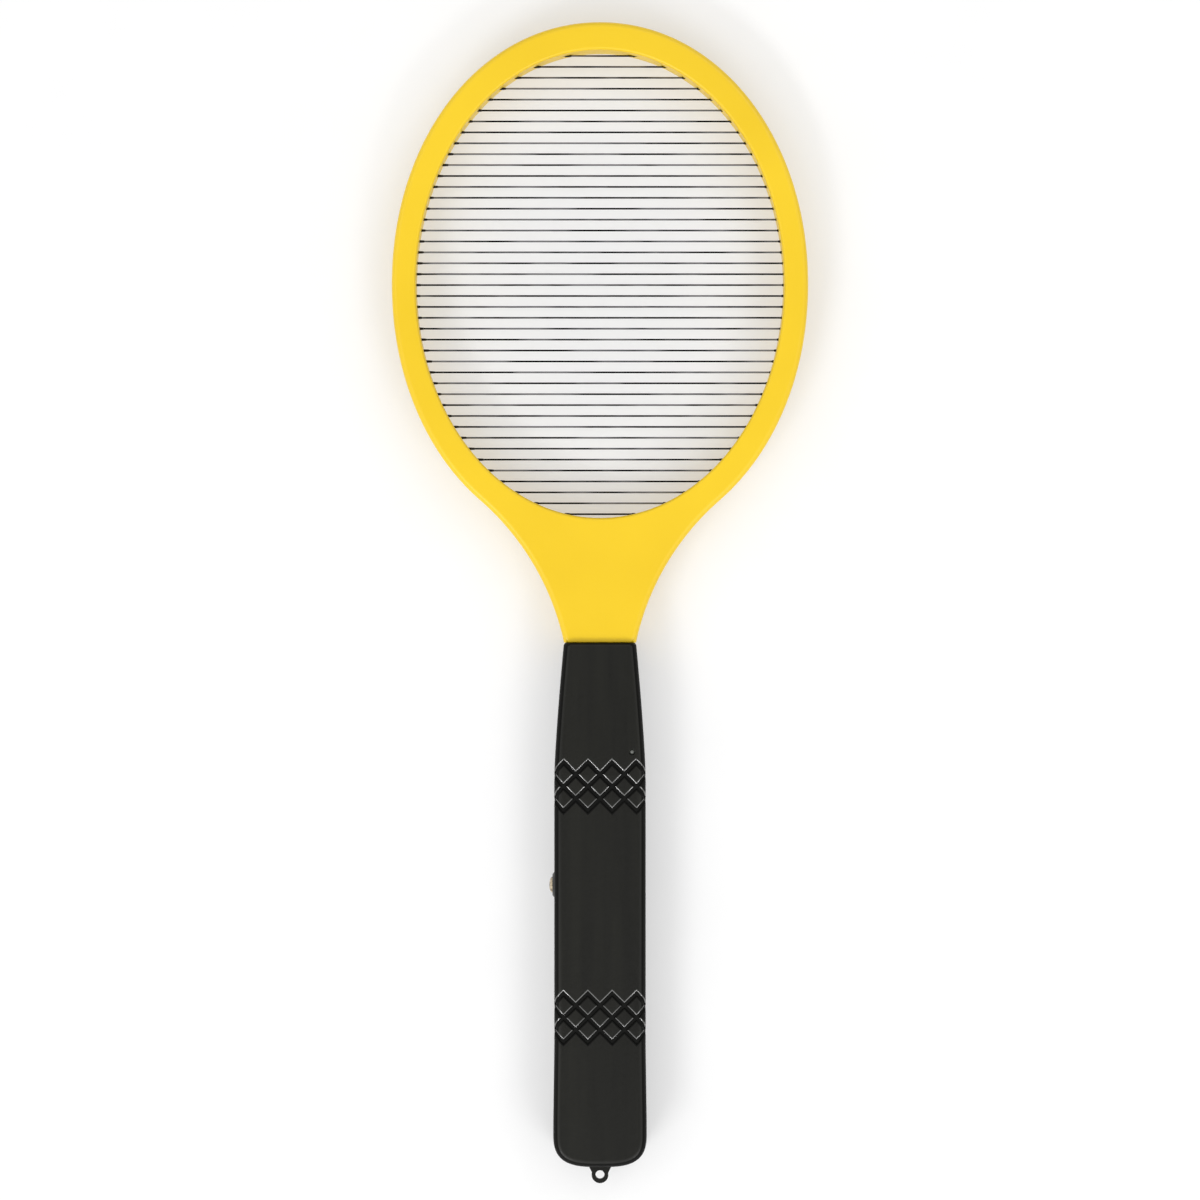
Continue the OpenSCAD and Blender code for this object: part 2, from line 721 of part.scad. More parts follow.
contact_x = 13;
module positive_contact() color("silver") {
    translate([-contact_x, bulkhead_y - contact_t, mid - plate_h / 2])
        cube([contact_x - 2, contact_t, plate_h]);
    translate([-cell_x, bulkhead_y - contact_t - top_room, mid]) rotate([-90, 0, 0])
        cylinder(r1 = coil_tip_r, r2 = 3.4, h = top_room + eps);
}

module negative_contact() color("silver") {
    translate([2, bulkhead_y - contact_t, mid - plate_h / 2]) cube([contact_x - 2, contact_t, plate_h]);
    translate([cell_x, bulkhead_y - contact_t + spring_wire_r / 2, mid]) rotate([90, 0, 0])
        coil(coil_base_r, coil_tip_r, spring_wire_r, top_room + spring_wire_r / 2, 3);
}

// ---------------------------------------------------------------- switch
side_x = -grip_w / 2;
bore_r = button_d / 2 + button_gap;
nut_t = 1.7;
nut_r = 6.9;
body_x = side_x + grip_wall + nut_t + 0.3;
body_l = 11.2;
body_w = 12;
front_wall = 0.6;
chamber_x = body_x + front_wall;
chamber_r = 4.2;
chamber_l = body_l - front_wall - 1.2;
flange_gap = 0.4;
flange_r = 3.8;
flange_x = chamber_x + flange_gap;
flange_t = 0.8;
stem_r = 1.3;
bridge_x = flange_x + 4.6;
bridge_t = 0.4;
bridge_r = 3.7;
coil_r = 1.7;
coil_wire_r = 0.2;
terminal_x = bridge_x + bridge_t + button_travel;
blade_y = 3;
blade_out = 4;

// Turns a piece drawn along +z so that it runs along +x from the left side
module along_x(x) translate([x, button_y, mid]) rotate([0, 90, 0]) children();

module switch_housing() color([0.1, 0.1, 0.1]) difference() {
    union() {
        along_x(side_x - bezel_h) cylinder(d = bezel_d, h = bezel_h);
        along_x(side_x - eps) cylinder(r = barrel_r, h = body_x - side_x + 2 * eps);
        translate([body_x, button_y - body_w / 2, mid - body_w / 2]) cube([body_l, body_w, body_w]);
    }
    along_x(side_x - 2) cylinder(r = bore_r, h = 8);
    along_x(chamber_x) cylinder(r = chamber_r, h = chamber_l);
    for (side = [-1, 1])
        translate([chamber_x + chamber_l - 1, button_y + side * blade_y - 0.35, mid - 1.3])
            cube([4, 0.7, 2.6]);
}

module switch_nut() color("silver") difference() {
    along_x(side_x + grip_wall + fit_gap) cylinder(r = nut_r, h = nut_t, $fn = 6);
    along_x(side_x) cylinder(r = barrel_r + 0.05, h = 8);
}

module push_button() color([0.85, 0.45, 0.15]) {
    tip = side_x - button_out;
    crown = 0.7;
    along_x(tip) rotate_extrude() polygon(concat(
        [[0, 0]],
        [for (a = [0 : 15 : 90]) [button_d / 2 - crown + crown * sin(a), crown * (1 - cos(a))]],
        [[button_d / 2, flange_x - tip], [flange_r, flange_x - tip],
         [flange_r, flange_x - tip + flange_t], [stem_r, flange_x - tip + flange_t],
         [stem_r, bridge_x - tip], [0, bridge_x - tip]]
    ));
}

module contact_bridge() color("goldenrod") along_x(bridge_x) cylinder(r = bridge_r, h = bridge_t);

module button_spring() color("silver")
    along_x(bridge_x + bridge_t + 0.05)
        coil(coil_r, coil_r, coil_wire_r, chamber_x + chamber_l - bridge_x - bridge_t - 0.1, 4);

module switch_terminals() color("goldenrod")
    for (side = [-1, 1])
        translate([terminal_x, button_y + side * blade_y - 0.25, mid - 1.2])
            cube([body_x + body_l + blade_out - terminal_x, 0.5, 2.4]);

// ---------------------------------------------------------------- board and its parts
board_y = seam_y - board_down;
board_post_r = 2.6;
board_screw_r = 0.8;
post_in = 4;
board_posts = [[-10.5, board_y - post_in], [10.5, board_y - board_l + post_in]];

module circuit_board() color([0.55, 0.4, 0.2]) difference() {
    translate([-board_w / 2, board_y - board_l, board_z]) cube([board_w, board_l, board_t]);
    for (p = board_posts) translate([p[0], p[1], board_z - 1]) cylinder(r = 1.2, h = board_t + 2);
}

module board_screws() color("silver")
    for (p = board_posts)
        translate([p[0], p[1], board_top]) mirror([0, 0, 1]) pan_screw(2, 1.4, board_screw_r, 6);

core_w = 13;
core_l = 6;
core_h = 11;
core_y = board_y - 15;
core_z = board_top + 0.8;
yoke = 1.5;
leg_t = 1.3;
core_r = 1.5;

module transformer_core() color([0.2, 0.2, 0.22]) translate([0, core_y, core_z]) {
    for (z = [0, core_h - yoke]) translate([-core_w / 2, -core_l / 2, z]) cube([core_w, core_l, yoke]);
    for (side = [-1, 1])
        translate([side * (core_w - leg_t) / 2 - leg_t / 2, -core_l / 2, yoke])
            cube([leg_t, core_l, core_h - 2 * yoke]);
    cylinder(r = core_r, h = core_h);
}

bobbin_low = core_z + yoke + fit_gap;
bobbin_h = core_h - 2 * yoke - 2 * fit_gap;
bobbin_r = 4.9;
tube_r = core_r + 0.8;
flange_h = 0.7;

module transformer_bobbin() color("ivory") translate([0, core_y, bobbin_low]) difference() {
    union() {
        cylinder(r = tube_r, h = bobbin_h);
        cylinder(r = bobbin_r, h = flange_h);
        translate([0, 0, bobbin_h - flange_h]) cylinder(r = bobbin_r, h = flange_h);
    }
    translate([0, 0, -1]) cylinder(r = core_r + fit_gap, h = bobbin_h + 2);
}

module transformer_winding() color([0.72, 0.4, 0.2])
    translate([0, core_y, bobbin_low + flange_h + 0.05]) difference() {
        cylinder(r = bobbin_r - 0.3, h = bobbin_h - 2 * flange_h - 0.1);
        translate([0, 0, -1]) cylinder(r = tube_r + 0.05, h = bobbin_h + 2);
    }

// A block with upright rounded edges, centred, standing on z = 0
module rounded_block(w, l, h, r) linear_extrude(h) {
    square([w - 2 * r, l], center = true);
    square([w, l - 2 * r], center = true);
    for (x = [-1, 1], y = [-1, 1]) translate([x * (w / 2 - r), y * (l / 2 - r)]) circle(r = r, $fn = 24);
}

module storage_capacitor() color([0.6, 0.15, 0.1]) translate([-2, board_y - 45, board_top]) {
    translate([0, 0, 1]) rounded_block(18, 8, 10, 1.5);
    for (x = [-7.5, 7.5]) translate([x, 0, -board_t]) cylinder(r = 0.35, h = board_t + 1 + eps);
}

module doubler_capacitors() color([0.2, 0.35, 0.65])
    for (i = [0 : 2]) translate([-9.8, board_y - 13 - i * 6, board_top]) {
        translate([0, 0, 1.5]) rounded_block(5, 3.4, 6.5, 1);
        for (x = [-1.5, 1.5]) translate([x, 0, -board_t]) cylinder(r = 0.3, h = board_t + 1.5 + eps);
    }

// An axial part that lies along y with its two bent leads
module axial(r, length, span, lead_wire_r) {
    lift = r + 0.3;
    translate([0, length / 2, lift]) rotate([90, 0, 0]) cylinder(r = r, h = length);
    translate([0, span / 2, lift]) rotate([90, 0, 0]) cylinder(r = lead_wire_r, h = span, $fn = 16);
    for (side = [-1, 1])
        translate([0, side * span / 2, -board_t]) cylinder(r = lead_wire_r, h = board_t + lift, $fn = 16);
}

module rectifier_diodes() color([0.12, 0.12, 0.12])
    for (i = [0 : 2]) translate([-9 + i * 4.6, board_y - 34, board_top]) axial(1.3, 5, 9, 0.35);

module resistors() color([0.8, 0.7, 0.5])
    for (i = [0 : 2]) translate([4.8 + i * 3.4, board_y - 34, board_top]) axial(1.1, 6, 9.5, 0.3);

leg_pitch = 1.27;
module switching_transistor() color([0.1, 0.1, 0.1]) translate([10.4, board_y - 48, board_top]) {
    translate([0, 0, 3]) intersection() {
        cylinder(r = 2.4, h = 5);
        translate([-1.6, -3, 0]) cube([4, 6, 5]);
    }
    for (y = [-1, 0, 1] * leg_pitch) translate([0, y, -board_t])
        cylinder(r = 0.25, h = board_t + 3 + eps, $fn = 16);
}

led_r = 0.9;
led_x = 12.6;
led_y = seam_y - 42.9;

module indicator_led() color([0.75, 0.8, 0.75]) translate([led_x, led_y, 0]) {
    top = mid + depth_at(led_y) - led_r * 0.9;
    translate([0, 0, top - 3.2]) cylinder(r = led_r, h = 3.2);
    translate([0, 0, top]) sphere(r = led_r);
    translate([0, 0, top - 4]) cylinder(r = led_r + 0.4, h = 0.8);
    for (y = [-0.6, 0.6]) translate([0, y, board_z]) cylinder(r = 0.2, h = top - 4 - board_z + eps, $fn = 16);
}

// ---------------------------------------------------------------- low-voltage leads
terminal_end = body_x + body_l + blade_out;
wall_lead_x = 9;
wall_lead_z = mid + 3;
module positive_lead() color("crimson") lead([
    [-wall_lead_x, bulkhead_y + 0.05, wall_lead_z],
    [-wall_lead_x, bulkhead_y + 4, wall_lead_z],
    [-wall_lead_x, handle_screw_y - 6, wall_lead_z],
    [-4, handle_screw_y + 3, mid + 1],
    [terminal_end - 2, button_y - blade_y - 9, mid + 0.5],
    [terminal_end + 1.5, button_y - blade_y - 3, mid],
    [terminal_end - 1.5, button_y - blade_y - 0.3 - lead_r, mid]
], lead_r);

module switch_lead() color("crimson") lead([
    [terminal_end - 1.5, button_y + blade_y + 0.3 + lead_r, mid],
    [terminal_end - 0.8, (button_y + blade_y + board_y - board_l + 5) / 2, mid - 0.8],
    [-2, board_y - board_l + 4, board_top + lead_r + 0.15]
], lead_r);

module negative_lead() color("black") lead([
    [wall_lead_x, bulkhead_y + 0.05, wall_lead_z],
    [wall_lead_x, bulkhead_y + 4, wall_lead_z],
    [wall_lead_x - 1, handle_screw_y - 6, wall_lead_z],
    [5, handle_screw_y + 4, mid + 1],
    [5.5, button_y, mid],
    [5, board_y - board_l - 3, board_top + 2],
    [4.5, board_y - board_l + 4, board_top + lead_r + 0.15]
], lead_r);

head_front_shell();
head_back_shell();
wire_carrier();
live_wires();
return_wires();
live_bus();
return_bus();
head_screws();
live_lead();
return_lead();
handle_front_shell();
handle_back_shell();
battery_door();
handle_screws();
battery_cell_left();
battery_cell_right();
bridge_contact();
positive_contact();
negative_contact();
positive_lead();
negative_lead();
switch_lead();
switch_housing();
switch_nut();
push_button();
contact_bridge();
button_spring();
switch_terminals();
circuit_board();
board_screws();
transformer_core();
transformer_bobbin();
transformer_winding();
storage_capacitor();
doubler_capacitors();
rectifier_diodes();
switching_transistor();
resistors();
indicator_led();
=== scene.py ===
"""Electric fly swatter: its looks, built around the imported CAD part.

Lengths are in millimetres until finish_piece scales a piece to metres."""

import math

import bmesh
import bpy
from mathutils import Matrix, Vector
from mathutils.geometry import delaunay_2d_cdt


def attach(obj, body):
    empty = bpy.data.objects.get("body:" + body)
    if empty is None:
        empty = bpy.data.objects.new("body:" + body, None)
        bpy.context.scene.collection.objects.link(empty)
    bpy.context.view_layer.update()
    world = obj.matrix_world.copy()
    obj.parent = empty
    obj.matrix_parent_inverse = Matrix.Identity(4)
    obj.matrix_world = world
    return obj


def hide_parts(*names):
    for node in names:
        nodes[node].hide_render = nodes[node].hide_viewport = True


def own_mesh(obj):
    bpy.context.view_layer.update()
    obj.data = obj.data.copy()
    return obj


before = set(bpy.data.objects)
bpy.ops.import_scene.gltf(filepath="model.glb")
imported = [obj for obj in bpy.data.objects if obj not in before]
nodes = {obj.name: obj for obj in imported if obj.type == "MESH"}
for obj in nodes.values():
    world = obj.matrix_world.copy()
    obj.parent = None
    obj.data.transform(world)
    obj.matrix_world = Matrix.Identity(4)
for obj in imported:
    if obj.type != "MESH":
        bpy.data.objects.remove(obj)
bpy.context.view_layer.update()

# ---------------------------------------------------------------- sizes, as in the CAD part
MID = 12.0                      # parting plane
SEAM_Y = -15.6                  # where the head meets the grip
NECK_W = 28.5
HEAD_Y, HEAD_W, HEAD_L, HEAD_TOP = 125.9, 164.4, 206.8, 19.0
OPEN_A, OPEN_B = 72.7, 92.3     # half axes of the opening
RIM_POWER = 2.04
THROAT_R, THROAT_X, THROAT_Y = 102.8, 114.8, -37.0
SCREWS, SCREW_IN = 8, 6.4
WIRE_PITCH, WIRE_ROWS, NOTCH_W = 4.32, 21, 1.1

GRIP_W, GRIP_END_W, GRIP_L, GRIP_T, GRIP_TOP_T = 36.0, 36.8, 206.4, 24.0, 19.0
TAPER_L, GRIP_END_L, EDGE_R, END_POWER = 52.4, 14.0, 3.0, 3.1
TAPER_POWER = 1.3
FLARE_FROM, FLARE_TO = 159.4, 188.4
JOIN_S = 190.0                  # how far below the seam the rounded lower end takes over
TOP_R = 1.2                     # rounding of the grip's top edge
SEAM_V = 0.3                    # depth and half width of the line between the grip's halves
BANDS = (56.5, 147.4)           # how far below the seam the bands of grooves have their middles
COLUMNS, GROOVE_W, GROOVE_D = 12, 1.6, 0.8
DOOR_Y, DOOR_SIDE, DOOR_END, DOOR_GAP = -149.5, 4.5, 8.3, 0.3
GRIP_END_Y = SEAM_Y - GRIP_L
SKIN_T, INSIDE_IN = 1.0, 0.9    # thickness of the new skin, and how far in the CAD copy takes over
EYE_Y, EYE_R, EYE_HOLE_R, EYE_T, EYE_BASE = -226.0, 3.3, 1.8, 3.0, 11.0
BUTTON_Y, SIDE_X = -111.5, -18.0
BARREL_HOLE_R = 4.55            # hole in the flank for the switch's barrel
LED_X, LED_Y = 12.6, -58.5
LED_HOLE = ((1.02, 0), (1.02, 12), (1.3, 12.3), (3, 14))
LED_HOLE_L = 12.25              # how far the hole reaches below the surface
GRIP_POSTS = ((-8, -25.6), (8, -25.6), (-11, -137.5), (11, -137.5))
POST_SINK_R = 2.62
POST_SINK_UPPER, POST_SINK_LOWER = 1.8, 3.4
# The head's tang and the slot for it in the grip: half width, length below the seam, half thickness
TANG_X, TANG_Y, TANG_Z = 12.6, 19, 5.9
SLOT_X, SLOT_Y, SLOT_Z = 12.72, 3.6, 6.02

# The grip's surface is worked out unrolled: u runs round a section from the middle of its front, and
# v or s down from the seam.
FLAT = GRIP_W / 2 - EDGE_R
ARC = math.pi / 2 * EDGE_R
SIDE = GRIP_T - 2 * EDGE_R
HALF_GIRTH = 2 * (FLAT + ARC) + SIDE
SIDE_MIDDLE = HALF_GIRTH / 2
PITCH = 2 * HALF_GIRTH / COLUMNS
CELL = PITCH / math.sqrt(2)
BAND_REACH = 2 * PITCH          # further from its middle than this a band has no grooves
CORNER_STEPS, TAPER_ROWS = 7, 18
HIGHLIGHT_FROM, HIGHLIGHT_TO = 0.024, 0.3  # depths between which a groove's wall counts as its edge, which gets a painted highlight where it faces the lamps
FLANK_NORMAL_Z = 0.94           # faces that lean over more than this count as sides and ends, which get a painted shade
ALONG_X = Matrix.Rotation(math.pi / 2, 4, "Y")  # turns a shape's z axis to +x
# A groove's wall as (distance in from its edge, depth)
GROOVE_WALL = ((-0.4, 0), (-0.02, 0.152), (0.06, 0.3), (0.2, 0.66), (0.26, 0.77), (0.36, GROOVE_D))


# ---------------------------------------------------------------- mesh helpers
def add_object(name, bm):
    mesh = bpy.data.meshes.new(name)
    bm.to_mesh(mesh)
    bm.free()
    obj = bpy.data.objects.new(name, mesh)
    bpy.context.scene.collection.objects.link(obj)
    return obj


def solid(name, points, faces, weld=1e-3):
    """A closed mesh from points and faces, its open flat ends filled."""
    bm = bmesh.new()
    verts = [bm.verts.new(p) for p in points]
    for face in faces:
        bm.faces.new([verts[i] for i in face])
    bmesh.ops.remove_doubles(bm, verts=bm.verts, dist=weld)
    open_edges = [e for e in bm.edges if len(e.link_faces) == 1]
    if open_edges:
        bmesh.ops.holes_fill(bm, edges=open_edges, sides=0)
    bmesh.ops.recalc_face_normals(bm, faces=bm.faces)
    return add_object(name, bm)


def block(x0, x1, y0, y1, z0, z1):
    corners = [(x, y, z) for z in (z0, z1) for x, y in ((x0, y0), (x1, y0), (x1, y1), (x0, y1))]
    sides = [(0, 1, 5, 4), (1, 2, 6, 5), (2, 3, 7, 6), (3, 0, 4, 7)]
    return solid("block", corners, [(0, 1, 2, 3), (4, 5, 6, 7)] + sides)


def turned(profile, steps=48):
    """A solid of revolution about z from (radius, height) pairs; its ends are filled."""
    points = [(r * math.cos(2 * math.pi * k / steps), r * math.sin(2 * math.pi * k / steps), z)
              for r, z in profile for k in range(steps)]
    faces = []
    for i in range(len(profile) - 1):
        low, high = i * steps, (i + 1) * steps
        faces += [(low + k, low + (k + 1) % steps, high + (k + 1) % steps, high + k) for k in range(steps)]
    return solid("turned", points, faces, weld=1e-5)


def move(obj, offset, turn=None):
    """Turns a shape by a matrix, then shifts it."""
    if turn:
        obj.data.transform(turn)
    obj.data.transform(Matrix.Translation(offset))
    return obj


def joined(objs):
    """Several separate solids as one mesh."""
    bm = bmesh.new()
    for o in objs:
        bm.from_mesh(o.data)
        bpy.data.objects.remove(o)
    return add_object("joined", bm)


def apply_modifiers(obj):
    graph = bpy.context.evaluated_depsgraph_get()
    mesh = bpy.data.meshes.new_from_object(obj.evaluated_get(graph))
    obj.modifiers.clear()
    obj.data = mesh


def add_bevel(obj, width, segments):
    """Rounds the edges where faces meet at more than 50 degrees."""
    mod = obj.modifiers.new("edges", "BEVEL")
    mod.limit_method, mod.angle_limit = "ANGLE", math.radians(50)
    mod.width, mod.segments = width, segments


def combine(target, tool, operation):
    """A boolean operation between two closed solids, which uses up the tool."""
    mod = target.modifiers.new("combine", "BOOLEAN")
    mod.operation = operation
    mod.object = tool
    mod.solver = "MANIFOLD"
    apply_modifiers(target)
    bpy.data.objects.remove(tool)
    return target


def cad_copy(node):
    """The CAD node's mesh as one welded solid, in millimetres."""
    bm = bmesh.new()
    bm.from_mesh(nodes[node].data)
    bmesh.ops.scale(bm, vec=(1000, 1000, 1000), verts=bm.verts)
    bmesh.ops.remove_doubles(bm, verts=bm.verts, dist=2e-4)
    loose = [v for v in bm.verts if not v.link_faces]
    bmesh.ops.delete(bm, geom=loose, context="VERTS")
    bmesh.ops.dissolve_degenerate(bm, dist=1e-5, edges=bm.edges)
    return add_object(node + "_copy", bm)


def finish_piece(obj, name, mat, body="racket", stands_for=(), sharp=28, weighted=True):
    """Scales a piece to metres, shades it and hangs it on its body."""
    bm = bmesh.new()
    bm.from_mesh(obj.data)
    bmesh.ops.remove_doubles(bm, verts=bm.verts, dist=2e-4)
    bmesh.ops.dissolve_degenerate(bm, dist=1e-5, edges=bm.edges)
    bmesh.ops.scale(bm, vec=(0.001, 0.001, 0.001), verts=bm.verts)
    mesh = bpy.data.meshes.new(name)
    bm.to_mesh(mesh)
    bm.free()
    obj.data = mesh
    obj.name = name
    mesh.materials.clear()
    mesh.materials.append(mat)
    mesh.polygons.foreach_set("use_smooth", [True] * len(mesh.polygons))
    mesh.set_sharp_from_angle(angle=math.radians(sharp))
    if weighted:
        mod = obj.modifiers.new("normals", "WEIGHTED_NORMAL")
        mod.keep_sharp = True
    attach(obj, body)
    if stands_for:
        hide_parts(*stands_for)
    return obj


# ---------------------------------------------------------------- materials
def linear(srgb):
    """A colour given as 0 to 255 in sRGB, as the linear values that a shader takes."""
    shares = [c / 255 for c in srgb]
    return tuple((c / 12.92) if c <= 0.04045 else ((c + 0.055) / 1.055) ** 2.4 for c in shares) + (1.0,)


def mixed_colour(tree, factor, low, high, a, b):
    """Colour a where factor is below low, b above high, smooth between."""
    ramp = tree.nodes.new("ShaderNodeValToRGB")
    ramp.color_ramp.elements[0].position, ramp.color_ramp.elements[0].color = low, a
    ramp.color_ramp.elements[1].position, ramp.color_ramp.elements[1].color = high, b
    tree.links.new(factor, ramp.inputs["Fac"])
    return ramp.outputs["Color"]


def scaled_range(tree, value, low, high):
    """A noise value, which mostly lies from 0.3 to 0.7, spread from low to high."""
    node = tree.nodes.new("ShaderNodeMapRange")
    node.inputs["From Min"].default_value, node.inputs["From Max"].default_value = 0.3, 0.7
    node.inputs["To Min"].default_value, node.inputs["To Max"].default_value = low, high
    tree.links.new(value, node.inputs["Value"])
    return node.outputs["Result"]


def noise(tree, scale, detail, stretch, rough):
    where = tree.nodes.new("ShaderNodeTexCoord")
    place = tree.nodes.new("ShaderNodeMapping")
    place.inputs["Scale"].default_value = stretch
    node = tree.nodes.new("ShaderNodeTexNoise")
    node.inputs["Scale"].default_value = scale
    node.inputs["Detail"].default_value = detail
    node.inputs["Roughness"].default_value = rough
    tree.links.new(where.outputs["Object"], place.inputs["Vector"])
    tree.links.new(place.outputs["Vector"], node.inputs["Vector"])
    return node.outputs["Fac"]


def material(name, a, b, rough, grain=(900, 0.04), blotch=30, stretch=(1, 1, 1), rough_spread=0.06,
             metallic=0.0, specular=0.5, coat=0.0, grain_stretch=(1, 1, 1), bump_distance=0.00004,
             spread=(0.35, 0.65), ior=1.5):
    """Colour wanders between a and b over blotches, and a fine grain gives bump and roughness.

    grain is its scale and its bump's strength; blotch is the blotches' scale, and a low stretch
    makes them long along that axis."""
    mat = bpy.data.materials.new(name)
    mat.use_nodes = True
    tree = mat.node_tree
    shader = tree.nodes["Principled BSDF"]
    blotches = noise(tree, blotch, 3, stretch, 0.5)
    fine = noise(tree, grain[0], 4, grain_stretch, 0.6)
    tree.links.new(mixed_colour(tree, blotches, spread[0], spread[1], a, b), shader.inputs["Base Color"])
    roughness = scaled_range(tree, fine, rough - rough_spread, rough + rough_spread)
    tree.links.new(roughness, shader.inputs["Roughness"])
    bump = tree.nodes.new("ShaderNodeBump")
    bump.inputs["Strength"].default_value = grain[1]
    bump.inputs["Distance"].default_value = bump_distance
    tree.links.new(fine, bump.inputs["Height"])
    tree.links.new(bump.outputs["Normal"], shader.inputs["Normal"])
    shader.inputs["Metallic"].default_value = metallic
    shader.inputs["Specular IOR Level"].default_value = specular
    shader.inputs["IOR"].default_value = ior
    shader.inputs["Coat Weight"].default_value = coat
    shader.inputs["Coat Roughness"].default_value = 0.1
    return mat


YELLOW = material("yellow_abs", linear((233, 194, 17)), linear((239, 201, 24)), 0.38, grain=(1400, 0.25),
                  blotch=14)
BLACK = material("black_abs", linear((16, 16, 12)), linear((23, 23, 18)), 0.4, grain=(1600, 0.5), blotch=160,
                 stretch=(1, 0.06, 1), rough_spread=0.08, specular=0.27)
# Painted highlight: a lighter, glossier black for the groove walls that face down towards the lamps, so that
# they glint.
PAINTED_EDGE_HIGHLIGHT = material("black_painted_highlight_edge", linear((22, 22, 19)), linear((40, 40, 35)), 0.22, grain=(1600, 0.15),
                blotch=260, specular=1.0, ior=1.8)
# Painted shade: a darker, duller black for the sides, ends and rounded edges.
FLANK_SHADE = material("black_painted_flank_shade", linear((8, 8, 7)), linear((13, 13, 10)), 0.5, grain=(1600, 0.6), blotch=160,
                 stretch=(1, 0.06, 1), specular=0.1)
# Painted shade: a darker, duller black for the grooves' floors and for the groove walls that face away from
# the lamps.
GROOVE_SHADE = material("black_painted_groove_shade", linear((9, 9, 8)), linear((13, 13, 11)), 0.6, grain=(1600, 0.5),
                  specular=0.12)
# Painted shade: dark dabs on the wires' ends, where the rim shades them.
WIRE_END_SHADE = material("painted_wire_end_shade", linear((16, 13, 10)), linear((30, 24, 18)), 0.5, grain=(2600, 0.3), specular=0.2)
CARRIER = material("natural_nylon", linear((214, 208, 190)), linear((226, 220, 204)), 0.55)
WIRE = material("drawn_wire", linear((5, 5, 6)), linear((126, 126, 128)), 0.34, grain=(2500, 0.1), blotch=46,
                stretch=(1, 9, 1), metallic=1.0, spread=(0.44, 0.6))
TINNED = material("tinned_strip", linear((190, 190, 188)), linear((214, 214, 210)), 0.35, metallic=1.0,
                  blotch=300)
ZINC = material("zinc_plate", linear((176, 178, 182)), linear((204, 205, 208)), 0.3, metallic=1.0, blotch=500)
NICKEL = material("nickel_plate", linear((188, 186, 180)), linear((206, 204, 198)), 0.22, metallic=1.0,
                  blotch=400)
BRASS = material("stamped_brass", linear((206, 170, 96)), linear((222, 188, 112)), 0.3, metallic=1.0,
                 blotch=400)
RED_PVC = material("red_pvc", linear((176, 22, 20)), linear((190, 30, 26)), 0.4)
BLUE_PVC = material("blue_pvc", linear((30, 66, 160)), linear((36, 76, 176)), 0.4)
BLACK_PVC = material("black_pvc", linear((24, 24, 24)), linear((32, 32, 32)), 0.42)
SWITCH = material("switch_nylon", linear((20, 20, 19)), linear((28, 28, 27)), 0.36, grain=(1800, 0.3))
TAN = material("tan_cap", linear((84, 62, 40)), linear((214, 198, 166)), 0.3, blotch=760, coat=0.3)
LAMINATE = material("phenolic_board", linear((150, 108, 58)), linear((172, 128, 74)), 0.5, blotch=700,
                    stretch=(1, 0.2, 1))
FERRITE = material("ferrite", linear((52, 52, 55)), linear((70, 70, 73)), 0.6, grain=(3000, 0.5))
BOBBIN = material("bobbin_plastic", linear((222, 216, 196)), linear((232, 226, 208)), 0.5)
COPPER = material("enamelled_copper", linear((172, 92, 48)), linear((196, 112, 62)), 0.25, grain=(5200, 1.0),
                  grain_stretch=(0.02, 0.02, 1), metallic=0.9, bump_distance=0.0001)
CAP_RED = material("red_epoxy", linear((150, 40, 26)), linear((168, 50, 32)), 0.25, blotch=300, coat=0.3)
CAP_BLUE = material("blue_epoxy", linear((44, 92, 150)), linear((54, 106, 166)), 0.25, blotch=300, coat=0.3)
EPOXY = material("black_epoxy", linear((26, 26, 27)), linear((36, 36, 37)), 0.5, grain=(2600, 0.5))
RESISTOR = material("resistor_lacquer", linear((196, 170, 120)), linear((210, 186, 138)), 0.35, blotch=600)
SLEEVE = material("cell_sleeve", linear((34, 74, 142)), linear((44, 90, 164)), 0.26, blotch=60, metallic=0.6,
                  coat=0.4)
LENS = material("led_lens", linear((84, 86, 82)), linear((104, 106, 100)), 0.2, blotch=900, coat=0.4)


# ---------------------------------------------------------------- the grip's surface
def half_width(s):
    if s < TAPER_L:
        return GRIP_W / 2 - (GRIP_W - NECK_W) / 2 * (1 - max(s, 0) / TAPER_L) ** TAPER_POWER
    share = min(1, max(0, (s - FLARE_FROM) / (FLARE_TO - FLARE_FROM)))
    return GRIP_W / 2 + (GRIP_END_W - GRIP_W) / 2 * share


def half_depth(s):
    if s < TAPER_L:
        return GRIP_T / 2 - (GRIP_T - GRIP_TOP_T) / 2 * (1 - max(s, 0) / TAPER_L) ** TAPER_POWER
    return GRIP_T / 2


def section(u):
    """The part of a section that u lies on, the place on that part, and the outward normal (x, z).

    The place runs from 0 in the middle of a face to 1 at its ends, and from 1 at the top of a side
    to -1 at its foot; it is 1 on an upper corner and -1 on a lower one."""
    a = abs(u)
    if a <= FLAT:
        return "face", a / FLAT, (0, 1)
    if a <= FLAT + ARC:
        t = (a - FLAT) / EDGE_R
        return "corner", 1, (math.sin(t), math.cos(t))
    if a <= FLAT + ARC + SIDE:
        return "side", 1 - 2 * (a - FLAT - ARC) / SIDE, (1, 0)
    if a <= FLAT + 2 * ARC + SIDE:
        t = (a - FLAT - ARC - SIDE) / EDGE_R
        return "corner", -1, (math.cos(t), -math.sin(t))
    return "face", (HALF_GIRTH - a) / FLAT, (0, -1)


